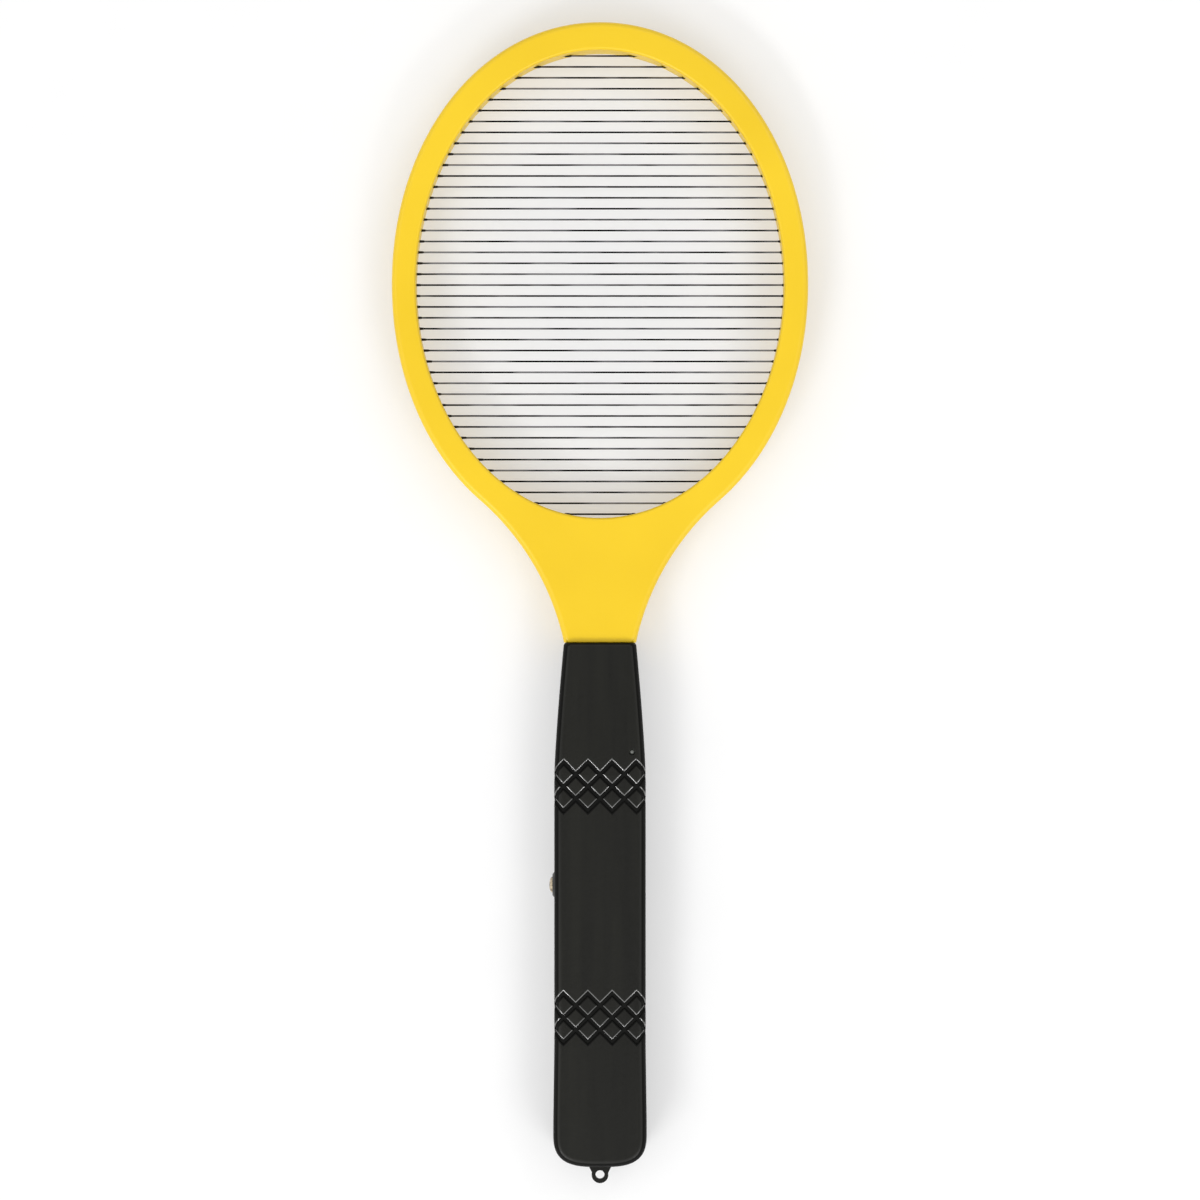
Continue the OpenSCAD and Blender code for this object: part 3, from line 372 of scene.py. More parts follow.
def grip_point(u, s, depth):
    """The point at u and s, depth below the surface."""
    w, d = half_width(s), half_depth(s)
    kind, t, n = section(u)
    side = 1 if u >= 0 else -1
    if kind == "face":
        x, z = t * (w - EDGE_R), d * n[1]
    elif kind == "corner":
        x, z = w - EDGE_R + EDGE_R * n[0], t * (d - EDGE_R) + EDGE_R * n[1]
    else:
        x, z = w, t * (d - EDGE_R)
    return (side * (x - n[0] * depth), SEAM_Y - s, MID + z - n[1] * depth)


def wall_depth(inside):
    """How deep a groove is at this distance in from its edge."""
    if inside <= GROOVE_WALL[0][0]:
        return 0.0
    for (p0, d0), (p1, d1) in zip(GROOVE_WALL, GROOVE_WALL[1:]):
        if inside < p1:
            return d0 + (d1 - d0) * (inside - p0) / (p1 - p0)
    return GROOVE_D


def groove_depth(u, v):
    """How deep the grooves are at a point: they run between diamonds that stand in three rows a band."""
    for centre in BANDS:
        dv = v - centre
        if abs(dv) > BAND_REACH:
            continue
        nearest = math.inf
        for row in (-1, 0, 1):
            shift = 0.5 if row else 0.0
            k0 = math.floor(u / PITCH - shift)
            for k in (k0, k0 + 1):
                du, dw = u - (k + shift) * PITCH, dv - row * PITCH / 2
                nearest = min(nearest, (abs(du) + abs(dw)) / math.sqrt(2) - CELL / 2)
        return wall_depth(GROOVE_W / 2 - abs(nearest))
    return 0.0


def end_outline():
    """The plan of the grip's lower end as (x, s, normal x, normal s), from the right flank to the left.

    Each side has 26 points at even distances, found on the curve drawn in 400 steps."""
    a0, b0, fine, parts = GRIP_END_W / 2, GRIP_END_L, 400, 26
    dense = []
    for i in range(fine + 1):
        a = i / fine * math.pi / 2
        x = a0 * math.cos(a) ** (2 / END_POWER) if i < fine else 0.0
        dense.append((x, b0 * math.sin(a) ** (2 / END_POWER)))
    length = [0.0]
    for p, q in zip(dense, dense[1:]):
        length.append(length[-1] + math.dist(p, q))
    right, j = [], 0
    for k in range(1, parts + 1):
        want = length[-1] * k / parts
        while j < fine - 1 and length[j + 1] < want:
            j += 1
        t = min(1, (want - length[j]) / (length[j + 1] - length[j]))
        x, y = (dense[j][i] + (dense[j + 1][i] - dense[j][i]) * t for i in (0, 1))
        nx, ny = (max(x, 0) / a0) ** (END_POWER - 1) / a0, (y / b0) ** (END_POWER - 1) / b0
        size = math.hypot(nx, ny)
        right.append((x, GRIP_L - GRIP_END_L + y, nx / size, ny / size))
    right = [(a0, JOIN_S, 1, 0), (a0, GRIP_L - GRIP_END_L, 1, 0)] + right
    return right + [(-x, s, -nx, ns) for x, s, nx, ns in reversed(right[:-1])]


def groove_lines():
    """The steps of the grooves' walls as lines on the unrolled surface."""
    lines, half = [], COLUMNS // 2
    for centre in BANDS:
        for inside, _ in GROOVE_WALL:
            reach = (CELL / 2 - GROOVE_W / 2 + inside) * math.sqrt(2)
            for row in (-1, 0, 1):
                for k in range(-half, half if row else half + 1):
                    u, v = (k + (0.5 if row else 0)) * PITCH, centre + row * PITCH / 2
                    right, left = (u + reach, v), (u - reach, v)
                    lines.append([right, (u, v + reach), left, (u, v - reach), right])
            peak = (CELL / 2 + GROOVE_W / 2 - inside) * math.sqrt(2) + PITCH / 2
            for way in (-1, 1):
                lines.append([(k * PITCH / 2, centre + way * (peak if k % 2 else peak - PITCH / 2))
                              for k in range(-COLUMNS - 1, COLUMNS + 2)])
    return lines


def grip_lines(around, top, detailed):
    """The lines that the unrolled surface has to follow."""
    lines = []
    for side in (-1, 1):
        for u in around + [HALF_GIRTH]:
            lines.append([(side * u, top), (side * u, JOIN_S)])
    rows = [top, JOIN_S, FLARE_FROM, FLARE_TO, TAPER_L]
    rows += [TAPER_L * k / TAPER_ROWS for k in range(1, TAPER_ROWS)]
    if detailed:
        rows += [TOP_R * (1 - math.cos(math.radians(a))) for a in (22.5, 45, 67.5, 90)]
    for v in rows:
        lines.append([(-HALF_GIRTH, v), (HALF_GIRTH, v)])
    if detailed:
        lines += groove_lines()
    return lines


def detail_depth(u, v):
    """How far grooves, seam and top rounding take the surface in."""
    depth = max(groove_depth(u, v), SEAM_V - abs(abs(u) - SIDE_MIDDLE), 0)
    if v < TOP_R:
        depth += TOP_R - math.sqrt(max(0, TOP_R ** 2 - (TOP_R - v) ** 2))
    return depth


def end_point(x, s, nx, ns, u, depth):
    """The point at u round the lower end's edge, where its plan passes (x, s), depth below the surface."""
    kind, t, n = section(u)
    if kind == "corner":
        into = EDGE_R * (1 - n[0]) + depth * n[0]
        z = t * (GRIP_T / 2 - EDGE_R) + (EDGE_R - depth) * n[1]
    elif kind == "side":
        into, z = depth, t * (GRIP_T / 2 - EDGE_R)
    else:
        into, z = EDGE_R, (GRIP_T / 2 - depth) * n[1]
    return (x - nx * into, SEAM_Y - (s - ns * into), MID + z)


def grip_solid(name, inset=0.0, detailed=False):
    """The grip's closed outer body, moved in by inset; detailed adds grooves, seam and top rounding."""
    around = [FLAT + ARC * k / CORNER_STEPS for k in range(CORNER_STEPS + 1)]
    around += [HALF_GIRTH - a for a in reversed(around)]
    if detailed:
        around += [SIDE_MIDDLE - SEAM_V, SIDE_MIDDLE, SIDE_MIDDLE + SEAM_V]
    around.sort()

    flat_points, flat_edges = [], []
    for path in grip_lines(around, inset, detailed):
        base = len(flat_points)
        flat_points.extend(Vector(p) for p in path)
        flat_edges.extend((base + i, base + i + 1) for i in range(len(path) - 1))
    verts, _, flat_faces, *_ = delaunay_2d_cdt(flat_points, flat_edges, [], 0, 1e-4)
    faces = [f for f in flat_faces if abs(sum(verts[i].x for i in f)) / len(f) < HALF_GIRTH
             and inset < sum(verts[i].y for i in f) / len(f) < JOIN_S]
    points = []
    for p in verts:
        depth = detail_depth(p.x, p.y) if detailed else inset
        points.append(grip_point(max(-HALF_GIRTH, min(HALF_GIRTH, p.x)), p.y, depth))

    # the rounded lower end
    outline = end_outline()
    base, across, rows = len(points), len(around), len(outline)
    for x, s, nx, ns in outline:
        for u in around:
            seam = max(0, SEAM_V - abs(u - SIDE_MIDDLE)) if detailed else 0
            points.append(end_point(x, s, nx, ns, u, inset + seam))
    for i in range(rows - 1):
        for k in range(across - 1):
            a, b = base + i * across + k, base + (i + 1) * across + k
            faces.append((a, b, b + 1, a + 1))
    faces.append([base + i * across for i in range(rows)])
    points.append((0, SEAM_Y - JOIN_S, MID - GRIP_T / 2 + inset))
    faces.append([base + i * across + across - 1 for i in range(rows)] + [len(points) - 1])
    return solid(name, points, faces)


def grip_layer(z0, z1):
    """A block round the whole grip between two heights."""
    return block(-40, 40, -260, 20, z0, z1)


def door_zone(grow=0.0):
    """The space that the door takes, grown by its gap; both blocks reach out past the grip."""
    side = block(-30, 30, -260, DOOR_Y + grow, -5, DOOR_SIDE + grow)
    return combine(side, block(-31, 31, -261, GRIP_END_Y + GRIP_END_L + grow, -6, DOOR_END + grow), "UNION")


def counterbore(x, y, z, r, depth, edge=0.3):
    """A cutter for a screw's hole from below, with its mouth chamfered."""
    cut = turned(((r + edge + 1, -1), (r + edge, 0), (r, edge), (r, depth)))
    return move(cut, (x, y, z))


skin = combine(grip_solid("grip", detailed=True), grip_solid("hollow", inset=SKIN_T), "DIFFERENCE")


def skin_part(*steps):
    """A copy of the grip's skin after these cuts, each a tool and an operation."""
    part = skin.copy()
    part.data = skin.data.copy()
    bpy.context.scene.collection.objects.link(part)
    for tool, operation in steps:
        combine(part, tool, operation)
    return part


def with_inside(part, node):
    """The skin's part joined to what the CAD node has inside it."""
    inside = combine(cad_copy(node), grip_solid("limit", inset=INSIDE_IN), "INTERSECT")
    return combine(part, inside, "UNION")


def lanyard_eye():
    """The tapering tab with its hole, all edges rounded."""
    bm = bmesh.new()
    root = GRIP_END_Y + 1.5     # inside the grip's wall
    outline = [(EYE_BASE / 2, root), (-EYE_BASE / 2, root)]
    for angle in range(164, 377, 8):
        a = math.radians(angle)
        outline.append((EYE_R * math.cos(a), EYE_Y + EYE_R * math.sin(a)))
    loop = [bm.verts.new((x, y, MID)) for x, y in outline]
    bm.faces.new(loop)
    lifted = bmesh.ops.extrude_face_region(bm, geom=bm.faces[:])
    top = [v for v in lifted["geom"] if isinstance(v, bmesh.types.BMVert)]
    bmesh.ops.translate(bm, vec=(0, 0, EYE_T), verts=top)
    bmesh.ops.recalc_face_normals(bm, faces=bm.faces)
    eye = add_object("eye", bm)
    hole = turned(((EYE_HOLE_R, -1), (EYE_HOLE_R, EYE_T + 1)), 40)
    combine(eye, move(hole, (0, EYE_Y, MID)), "DIFFERENCE")
    add_bevel(eye, 0.45, 3)
    apply_modifiers(eye)
    return eye


def tang_slot():
    return block(-SLOT_X, SLOT_X, SEAM_Y - SLOT_Y, SEAM_Y + 3, MID - SLOT_Z, MID + SLOT_Z)


def barrel_hole():
    return move(turned(((BARREL_HOLE_R, 0), (BARREL_HOLE_R, 5))), (SIDE_X - 1.5, BUTTON_Y, MID), ALONG_X)


def led_hole():
    return move(turned(LED_HOLE), (LED_X, LED_Y, MID + half_depth(SEAM_Y - LED_Y) - LED_HOLE_L))


def front_half():
    half = with_inside(skin_part((grip_layer(-5, MID), "DIFFERENCE")), "handle_front_shell")
    for tool in (tang_slot(), barrel_hole(), led_hole()):
        combine(half, tool, "DIFFERENCE")
    return combine(half, lanyard_eye(), "UNION")


def back_half():
    cuts = (grip_layer(MID, 30), "DIFFERENCE"), (door_zone(DOOR_GAP), "DIFFERENCE")
    half = with_inside(skin_part(*cuts), "handle_back_shell")
    combine(half, tang_slot(), "DIFFERENCE")
    combine(half, barrel_hole(), "DIFFERENCE")
    for x, y in GRIP_POSTS:
        sink = POST_SINK_UPPER if y > BUTTON_Y else POST_SINK_LOWER
        combine(half, counterbore(x, y, MID - half_depth(SEAM_Y - y), POST_SINK_R, sink), "DIFFERENCE")
    return half


def paint_grip_shade_and_highlight(obj):
    """Sides and ends get a painted shade (a darker, rough black), the grooves' floors a darker painted shade,
    and the groove walls that face down towards the lamps a lighter, glossier painted highlight; the other
    walls take the grooves' shade.
    """
    mesh = obj.data
    for mat in (GROOVE_SHADE, PAINTED_EDGE_HIGHLIGHT, FLANK_SHADE):
        mesh.materials.append(mat)
    recess, edge, flank = 1, 2, 3
    for face in mesh.polygons:
        c = face.center * 1000
        s = SEAM_Y - c.y
        q = (abs(c.x) - half_width(s) + EDGE_R, abs(c.z - MID) - half_depth(s) + EDGE_R)
        depth = EDGE_R - math.hypot(max(q[0], 0), max(q[1], 0)) - min(max(q), 0)
        near_band = min(abs(s - band) for band in BANDS) < BAND_REACH
        off_seam = abs(c.z - MID) > 0.5
        # painted shade on the grooves' floors
        if near_band and HIGHLIGHT_TO < depth < GROOVE_D + 0.1:
            face.material_index = recess
        # the walls facing the lamps get the painted highlight, the others the painted groove shade
        elif near_band and HIGHLIGHT_FROM < depth <= HIGHLIGHT_TO and off_seam:
            face.material_index = edge if face.normal.y < 0 else recess
        # painted shade on the sides, ends and rounded edges
        elif abs(face.normal.z) < FLANK_NORMAL_Z:
            face.material_index = flank


front, back = front_half(), back_half()
door = with_inside(skin_part((door_zone(), "INTERSECT")), "battery_door")
bpy.data.objects.remove(skin)
finish_piece(front, "grip_front", BLACK, stands_for=["handle_front_shell"], sharp=18)
finish_piece(back, "grip_back", BLACK, stands_for=["handle_back_shell"], sharp=18)
finish_piece(door, "door_panel", BLACK, "door", ["battery_door"], sharp=18)
for piece in (front, back, door):
    paint_grip_shade_and_highlight(piece)


# ---------------------------------------------------------------- the head
RIM_R, LIP_R, NECK_R, SEAM_CUT = 2.3, 1.2, 0.5, 0.25
SHELL_IN, COPY_IN = 0.8, 0.7    # thickness of the new skin, and how far in the CAD copy takes over
SCREW_ARC = 300                 # degrees that the screws are spread over
SCREW_MOUTH_Z, SCREW_SINK_R, SCREW_SINK = 5.0, 1.97, 3.0
NOTCH_OUT, NOTCH_END = 1.6, 0.3  # how far past the opening's edge a wire's slot reaches, and its square end


def rim_point(a):
    c, s = math.cos(a), math.sin(a)
    return (HEAD_W / 2 * math.copysign(abs(c) ** (2 / RIM_POWER), c),
            HEAD_Y + HEAD_L / 2 * math.copysign(abs(s) ** (2 / RIM_POWER), s))


def rim_normal(x, y):
    u, v = x / (HEAD_W / 2), (y - HEAD_Y) / (HEAD_L / 2)
    nx = math.copysign(abs(u) ** (RIM_POWER - 1), u) / (HEAD_W / 2)
    ny = math.copysign(abs(v) ** (RIM_POWER - 1), v) / (HEAD_L / 2)
    size = math.hypot(nx, ny)
    return nx / size, ny / size


def rim_touch():
    """The rim's angle where the throat's arc touches it, to a twentieth of a degree."""
    best = min((abs(math.dist(rim_point(math.radians(a / 100)), (THROAT_X, THROAT_Y)) - THROAT_R), a / 100)
               for a in range(-8500, -2000, 5))
    return math.radians(best[1])


TOUCH = rim_touch()


def outer_ring(inset, z, end_in):
    """The head's outline at height z, moved in by inset and its lower end by end_in.

    It runs from the neck's right corner round to the left one."""
    right = []
    throat_steps, rim_steps = 28, 110
    r = THROAT_R + inset
    start = math.asin((SEAM_Y + end_in - THROAT_Y) / r)
    tx, ty = rim_point(TOUCH)
    stop = math.atan2(ty - THROAT_Y, THROAT_X - tx)
    for k in range(throat_steps):
        t = start + (stop - start) * k / throat_steps
        right.append((THROAT_X - r * math.cos(t), THROAT_Y + r * math.sin(t)))
    for k in range(rim_steps + 1):
        a = TOUCH + (math.pi / 2 - TOUCH) * k / rim_steps
        x, y = rim_point(a)
        nx, ny = rim_normal(x, y)
        if k == rim_steps:
            x, nx, ny = 0.0, 0.0, 1.0
        right.append((x - nx * inset, y - ny * inset))
    ring = right + [(-x, y) for x, y in reversed(right[:-1])]
    return [(x, y, z) for x, y in ring]


def opening_ring(out, z):
    steps = 220
    angles = [2 * math.pi * k / steps for k in range(steps)]
    return [((OPEN_A + out) * math.cos(a), HEAD_Y + (OPEN_B + out) * math.sin(a), z) for a in angles]


def ring_solid(name, outer, inner):
    """A solid between stacked outer rings and stacked inner rings, bottom to top, with flat ends."""
    bm = bmesh.new()
    stacks = [[[bm.verts.new(p) for p in ring] for ring in rings] for rings in (outer, inner)]
    for stack in stacks:
        n = len(stack[0])
        for low, high in zip(stack, stack[1:]):
            for k in range(n):
                bm.faces.new((low[k], low[(k + 1) % n], high[(k + 1) % n], high[k]))
    for level in (0, -1):
        loops = [stack[level] for stack in stacks]
        pairs = [(loop[k], loop[(k + 1) % len(loop)]) for loop in loops for k in range(len(loop))]
        edges = [bm.edges.get(pair) for pair in pairs]
        bmesh.ops.triangle_fill(bm, use_beauty=True, use_dissolve=False, edges=edges)
    bmesh.ops.recalc_face_normals(bm, faces=bm.faces)
    return add_object(name, bm)


def head_outside():
    """The upper half of the head, solid, with its edges rounded and a fine groove at the parting plane."""
    rim_steps, lip_steps = 7, 5
    outer = [outer_ring(SEAM_CUT, MID, 0), outer_ring(0, MID + SEAM_CUT, 0)]
    for k in range(rim_steps + 1):
        t = math.pi / 2 * k / rim_steps
        z = HEAD_TOP - RIM_R + RIM_R * math.sin(t)
        end = NECK_R - math.sqrt(max(0, NECK_R ** 2 - max(0, z - HEAD_TOP + NECK_R) ** 2))
        outer.append(outer_ring(RIM_R * (1 - math.cos(t)), z, end))
    inner = [opening_ring(SEAM_CUT, MID), opening_ring(0, MID + SEAM_CUT)]
    for k in range(lip_steps + 1):
        t = math.pi / 2 * k / lip_steps
        inner.append(opening_ring(LIP_R * (1 - math.cos(t)), HEAD_TOP - LIP_R + LIP_R * math.sin(t)))
    return ring_solid("head_outside", outer, inner)


def head_limit(inset, low):
    """The head's space from the height low up, moved in by inset."""
    top = HEAD_TOP - inset
    return ring_solid("head_limit", [outer_ring(inset, low, inset), outer_ring(inset, top, inset)],
                      [opening_ring(inset, low), opening_ring(inset, top)])


def half_chord(dy, out=0.0):
    """Half the opening's width dy away from its middle, with the opening made larger by out."""
    return (OPEN_A + out) * math.sqrt(max(0, 1 - (dy / (OPEN_B + out)) ** 2))


def notches():
    """One slot for each wire, through the shell's inner edge."""
    cuts = []
    for k in range(-WIRE_ROWS, WIRE_ROWS + 1):
        reach = half_chord(max(0, abs(k) * WIRE_PITCH - NOTCH_W), NOTCH_OUT) + NOTCH_END
        y, h = HEAD_Y + k * WIRE_PITCH, NOTCH_W / 2 + 0.02
        cuts.append(block(-reach, reach, y - h, y + h, MID - h, MID + h))
    return joined(cuts)


def flipped(obj):
    """Mirrored in the parting plane."""
    bm = bmesh.new()
    bm.from_mesh(obj.data)
    for v in bm.verts:
        v.co.z = 2 * MID - v.co.z
    bmesh.ops.reverse_faces(bm, faces=bm.faces)
    bm.to_mesh(obj.data)
    bm.free()
    return obj


def screw_sinks():
    cuts = []
    for i in range(SCREWS):
        a = math.radians(90 + (i - (SCREWS - 1) / 2) * SCREW_ARC / SCREWS)
        x, y = (OPEN_A + SCREW_IN) * math.cos(a), HEAD_Y + (OPEN_B + SCREW_IN) * math.sin(a)
        cuts.append(counterbore(x, y, SCREW_MOUTH_Z, SCREW_SINK_R, SCREW_SINK, 0.25))
    return joined(cuts)


def head_shell(node, upper):
    """Half of the head: a new skin joined to what the CAD node has inside it."""
    shell = combine(head_outside(), head_limit(SHELL_IN, MID - 1), "DIFFERENCE")
    tang = block(-TANG_X, TANG_X, SEAM_Y - TANG_Y, SEAM_Y + 2, MID - 0.6, MID + TANG_Z)
    limit = combine(head_limit(COPY_IN, MID - 0.5), tang, "UNION")
    if not upper:
        shell, limit = flipped(shell), flipped(limit)
    combine(shell, combine(cad_copy(node), limit, "INTERSECT"), "UNION")
    combine(shell, notches(), "DIFFERENCE")
    if not upper:
        combine(shell, screw_sinks(), "DIFFERENCE")
    return shell


finish_piece(head_shell("head_front_shell", True), "head_front", YELLOW,
             stands_for=["head_front_shell"])
finish_piece(head_shell("head_back_shell", False), "head_back", YELLOW,
             stands_for=["head_back_shell"])


def end_shade_dab(x, y, length, way):
    """A small dark dab, a painted shade, where a wire leaves its slot, tapering on to the wire."""
    profile = ((0.3, -0.6), (0.5, -0.5), (0.52, 0), (0.5, length * 0.5), (0.44, length * 0.8), (0.3, length))
    return move(turned(profile, 14), (x, y, MID), Matrix.Rotation(way * math.pi / 2, 4, "Y"))


# the dabs, painted shade on the wires' ends, are longer on the left, and each is a little longer or shorter
# than the next
dabs = []
for k in range(-WIRE_ROWS, WIRE_ROWS + 1):
    y, x = HEAD_Y + k * WIRE_PITCH, half_chord(k * WIRE_PITCH)
    dabs += [end_shade_dab(-x, y, 2.0 + 0.5 * math.sin(7 * k), 1), end_shade_dab(x, y, 0.7 + 0.3 * math.sin(5 * k), -1)]
finish_piece(joined(dabs), "wire_end_shade_dabs", WIRE_END_SHADE, weighted=False)


# ---------------------------------------------------------------- switch, button and its spring
CAP_R, DOME_H, FLANGE_R, STEM_R = 3.15, 1.25, 3.8, 1.3
FLANGE_FROM, FLANGE_TO, CAP_L = 6.9, 7.7, 11.5  # from the cap's outer end
CAP_OUT, BEZEL_OUT = 2.1, 0.8   # how far the cap and the bezel stand out of the flank
BEZEL_TOP_R, BEZEL_FOOT_R, BEZEL_FOOT = 3.95, 5.15, 0.76  # the bezel's slope, its foot down from its top
SPRING_R, SPRING_WIRE_R, SPRING_L, SPRING_TURNS = 1.7, 0.2, 3.9, 5


def filleted(corners, steps=4):
    """A (radius, height) profile from (radius, height, rounding) corners."""
    out = []
    for i, (r, z, f) in enumerate(corners):
        if not f or i in (0, len(corners) - 1):
            out.append((r, z))
            continue
        p, q = Vector(corners[i - 1][:2]), Vector(corners[i + 1][:2])
        c = Vector((r, z))
        a, b = c + (p - c).normalized() * f, c + (q - c).normalized() * f
        for k in range(steps + 1):
            t = k / steps
            out.append(tuple((1 - t) ** 2 * a + 2 * t * (1 - t) * c + t * t * b))
    return out


def button_cap():
    """The cap's dome, barrel, flange and stem, from its outer end inwards."""
    angles = [t * math.pi / 20 for t in range(11)]
    dome = [(CAP_R * math.sin(a), DOME_H * (1 - math.cos(a)), 0) for a in angles]
    barrel = [(CAP_R, FLANGE_FROM, 0.1), (FLANGE_R, FLANGE_FROM, 0.12), (FLANGE_R, FLANGE_TO, 0.12)]
    stem = [(STEM_R, FLANGE_TO, 0.1), (STEM_R, CAP_L, 0), (0, CAP_L, 0)]
    return move(turned(filleted(dome + barrel + stem), 56), (SIDE_X - CAP_OUT, BUTTON_Y, MID), ALONG_X)


def switch_case():
    """The CAD's case, with the bezel's rim sloped down to the grip."""
    top, foot = (BEZEL_TOP_R, -0.2), (BEZEL_FOOT_R, BEZEL_FOOT)
    past_case = [(14, BEZEL_FOOT), (14, 40), (0, 40)]
    envelope = turned([(0, -0.2), top, foot] + past_case, 96)
    move(envelope, (SIDE_X - BEZEL_OUT, BUTTON_Y, MID), ALONG_X)
    return combine(cad_copy("switch_housing"), envelope, "INTERSECT")


finish_piece(button_cap(), "button_cap", TAN, "button", ["push_button"])
case = finish_piece(switch_case(), "switch_case", SWITCH,
                    stands_for=["switch_housing"])
add_bevel(case, 0.00022, 3)
case.modifiers.move(1, 0)       # the bevel goes before the normals


def spring(r, wire, length, turns):
    """A coil along z with its end turns closed up."""
    per_turn, sides, closed = 28, 10, 0.8
    n = turns * per_turn
    points, faces = [], []
    for i in range(n + 1):
        t = i / n
        lift = min(max((t * turns - closed) / (turns - 2 * closed), 0), 1)
        first = closed * wire * min(1, t * turns / closed)
        last = closed * wire * max(0, (t * turns - turns + closed) / closed)
        z = wire + (length - 2 * wire - 2 * closed * wire) * lift + first + last
        a = t * turns * 2 * math.pi
        for j in range(sides):
            b = 2 * math.pi * j / sides
            out = r + wire * math.cos(b)
            points.append((out * math.cos(a), out * math.sin(a), z + wire * math.sin(b)))
    for i in range(n):
        for j in range(sides):
            k = (j + 1) % sides
            faces.append((i * sides + j, (i + 1) * sides + j, (i + 1) * sides + k, i * sides + k))
    return solid("spring", points, faces, weld=1e-5)


coil = spring(SPRING_R, SPRING_WIRE_R, SPRING_L, SPRING_TURNS)
move(coil, (-4.25 - SPRING_L, BUTTON_Y, MID), ALONG_X)
finish_piece(coil, "return_spring", NICKEL, stands_for=["button_spring"], weighted=False)
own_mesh(coil)

# ---------------------------------------------------------------- CAD nodes that stay
# each with its material and the width of its edges' rounding
KEPT = {
    "wire_carrier": (CARRIER, 0.12), "live_wires": (WIRE, 0), "return_wires": (WIRE, 0),
    "live_bus": (TINNED, 0.08), "return_bus": (TINNED, 0.08), "head_screws": (ZINC, 0.08),
    "live_lead": (RED_PVC, 0), "return_lead": (BLUE_PVC, 0), "handle_screws": (ZINC, 0.1),
    "battery_cell_left": (SLEEVE, 0.25), "battery_cell_right": (SLEEVE, 0.25),
    "bridge_contact": (NICKEL, 0.08), "positive_contact": (NICKEL, 0.08),
    "negative_contact": (NICKEL, 0.08), "positive_lead": (RED_PVC, 0), "negative_lead": (BLACK_PVC, 0),
    "switch_lead": (RED_PVC, 0), "switch_nut": (ZINC, 0.15), "contact_bridge": (BRASS, 0.08),
    "switch_terminals": (BRASS, 0.08), "circuit_board": (LAMINATE, 0.1), "board_screws": (ZINC, 0.08),
    "transformer_core": (FERRITE, 0.15), "transformer_bobbin": (BOBBIN, 0.1),
    "transformer_winding": (COPPER, 0.1), "storage_capacitor": (CAP_RED, 0.4),
    "doubler_capacitors": (CAP_BLUE, 0.3), "rectifier_diodes": (EPOXY, 0.15),
    "switching_transistor": (EPOXY, 0.15), "resistors": (RESISTOR, 0.2), "indicator_led": (LENS, 0.08),
}
for name, (mat, width) in KEPT.items():
    obj = nodes[name]
    obj.data.materials.clear()
    obj.data.materials.append(mat)
    if width:
        weld = obj.modifiers.new("weld", "WELD")
        weld.merge_threshold = 2e-7
        add_bevel(obj, width / 1000, 2)
        normals = obj.modifiers.new("normals", "WEIGHTED_NORMAL")
        normals.keep_sharp = True


# ---------------------------------------------------------------- studio
def studio_floor():
    bm = bmesh.new()
    bmesh.ops.create_grid(bm, x_segments=2, y_segments=2, size=3.0)
    floor = add_object("floor", bm)
    paper = material("floor_paper", (0.59, 0.59, 0.59, 1), (0.6, 0.6, 0.6, 1), 0.8, grain=(300, 0.02),
                     specular=0.1)
    shader = paper.node_tree.nodes["Principled BSDF"]
    shader.inputs["Emission Color"].default_value = (1, 1, 1, 1)
    shader.inputs["Emission Strength"].default_value = 0.32
    floor.data.materials.append(paper)
    return floor


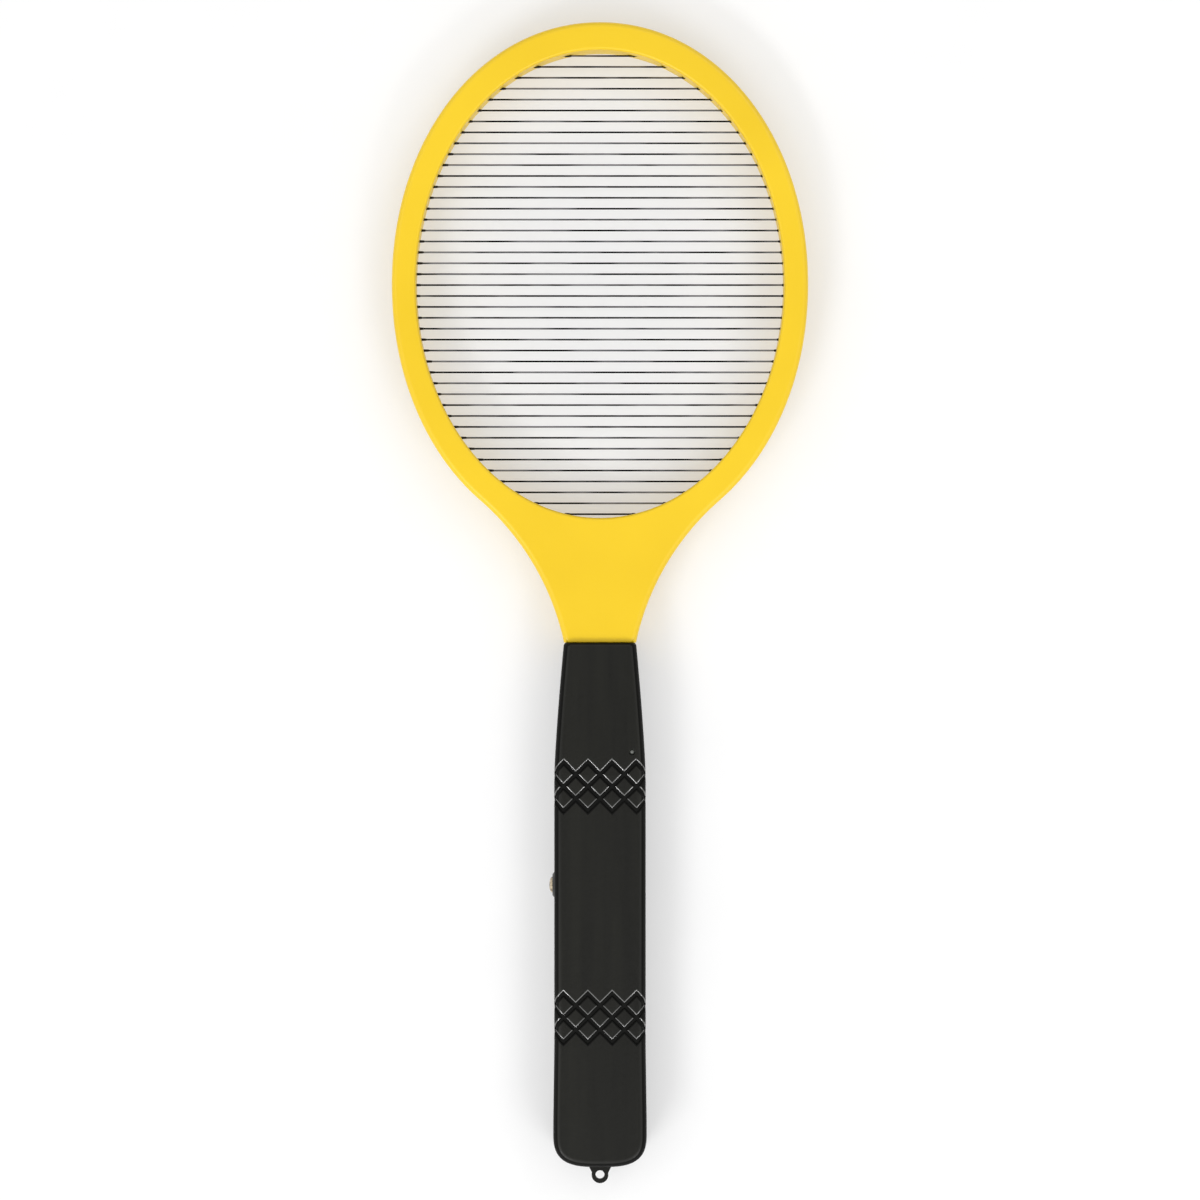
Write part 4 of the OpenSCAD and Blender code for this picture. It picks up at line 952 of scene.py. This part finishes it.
def studio_world():
    """Bright softboxes all round at mid height, dimmer overhead and low down, and a pale horizon."""
    world = bpy.data.worlds.new("studio")
    bpy.context.scene.world = world
    world.use_nodes = True
    tree = world.node_tree
    direction = tree.nodes.new("ShaderNodeTexCoord")
    split = tree.nodes.new("ShaderNodeSeparateXYZ")
    height = tree.nodes.new("ShaderNodeValToRGB")
    stops = ((0.0, 0.9), (0.14, 0.9), (0.2, 0.3), (0.4, 0.42), (0.52, 1.1), (0.9, 1.1), (0.97, 0.4),
             (1.0, 0.34))
    while len(height.color_ramp.elements) < len(stops):
        height.color_ramp.elements.new(0.5)
    for element, (place, level) in zip(height.color_ramp.elements, stops):
        element.position, element.color = place, (level, level, level, 1)
    tree.links.new(direction.outputs["Generated"], split.inputs["Vector"])
    tree.links.new(split.outputs["Z"], height.inputs["Fac"])
    # the lower left is the bright side
    side = tree.nodes.new("ShaderNodeVectorMath")
    side.operation = "DOT_PRODUCT"
    side.inputs[1].default_value = (-0.15, -0.3, 0)
    lift = tree.nodes.new("ShaderNodeMath")
    lift.inputs[1].default_value = 1.0
    tree.links.new(direction.outputs["Generated"], side.inputs[0])
    tree.links.new(side.outputs["Value"], lift.inputs[0])
    shade = tree.nodes.new("ShaderNodeVectorMath")
    shade.operation = "SCALE"
    tree.links.new(height.outputs["Color"], shade.inputs[0])
    tree.links.new(lift.outputs["Value"], shade.inputs["Scale"])
    tree.links.new(shade.outputs["Vector"], tree.nodes["Background"].inputs["Color"])
    tree.nodes["Background"].inputs["Strength"].default_value = 1.0


def lamp(name, place, target, size, power):
    light = bpy.data.lights.new(name, "AREA")
    light.shape = "RECTANGLE"
    light.size, light.size_y = size
    light.energy = power
    obj = bpy.data.objects.new(name, light)
    obj.location = place
    obj.rotation_euler = (Vector(target) - Vector(place)).to_track_quat("-Z", "Y").to_euler()
    bpy.context.scene.collection.objects.link(obj)


floor = studio_floor()
studio_world()
lamp("key", (-1.06, -1.46, 1.5), (0, -0.1, 0), (0.9, 0.3), 14)
lamp("low_fill", (1.06, -1.46, 1.5), (0, -0.1, 0), (0.9, 0.3), 8)
lamp("fill", (1.2, 1.4, 1.6), (0, 0, 0), (1.2, 1.2), 6)

VIEW_W, VIEW_FROM = 0.4752, 1.5  # width of the view, in metres, and the distance at which it is that wide
camera = bpy.data.cameras.new("camera")
camera.sensor_width = 36
camera.lens = camera.sensor_width / VIEW_W * VIEW_FROM
camera.clip_end = 20
view = bpy.data.objects.new("camera", camera)
view.location = (0, 0.0012, VIEW_FROM + 0.012)  # above the grid, which is 12 mm up
bpy.context.scene.collection.objects.link(view)
bpy.context.scene.camera = view
bpy.context.scene.view_settings.view_transform = "Standard"
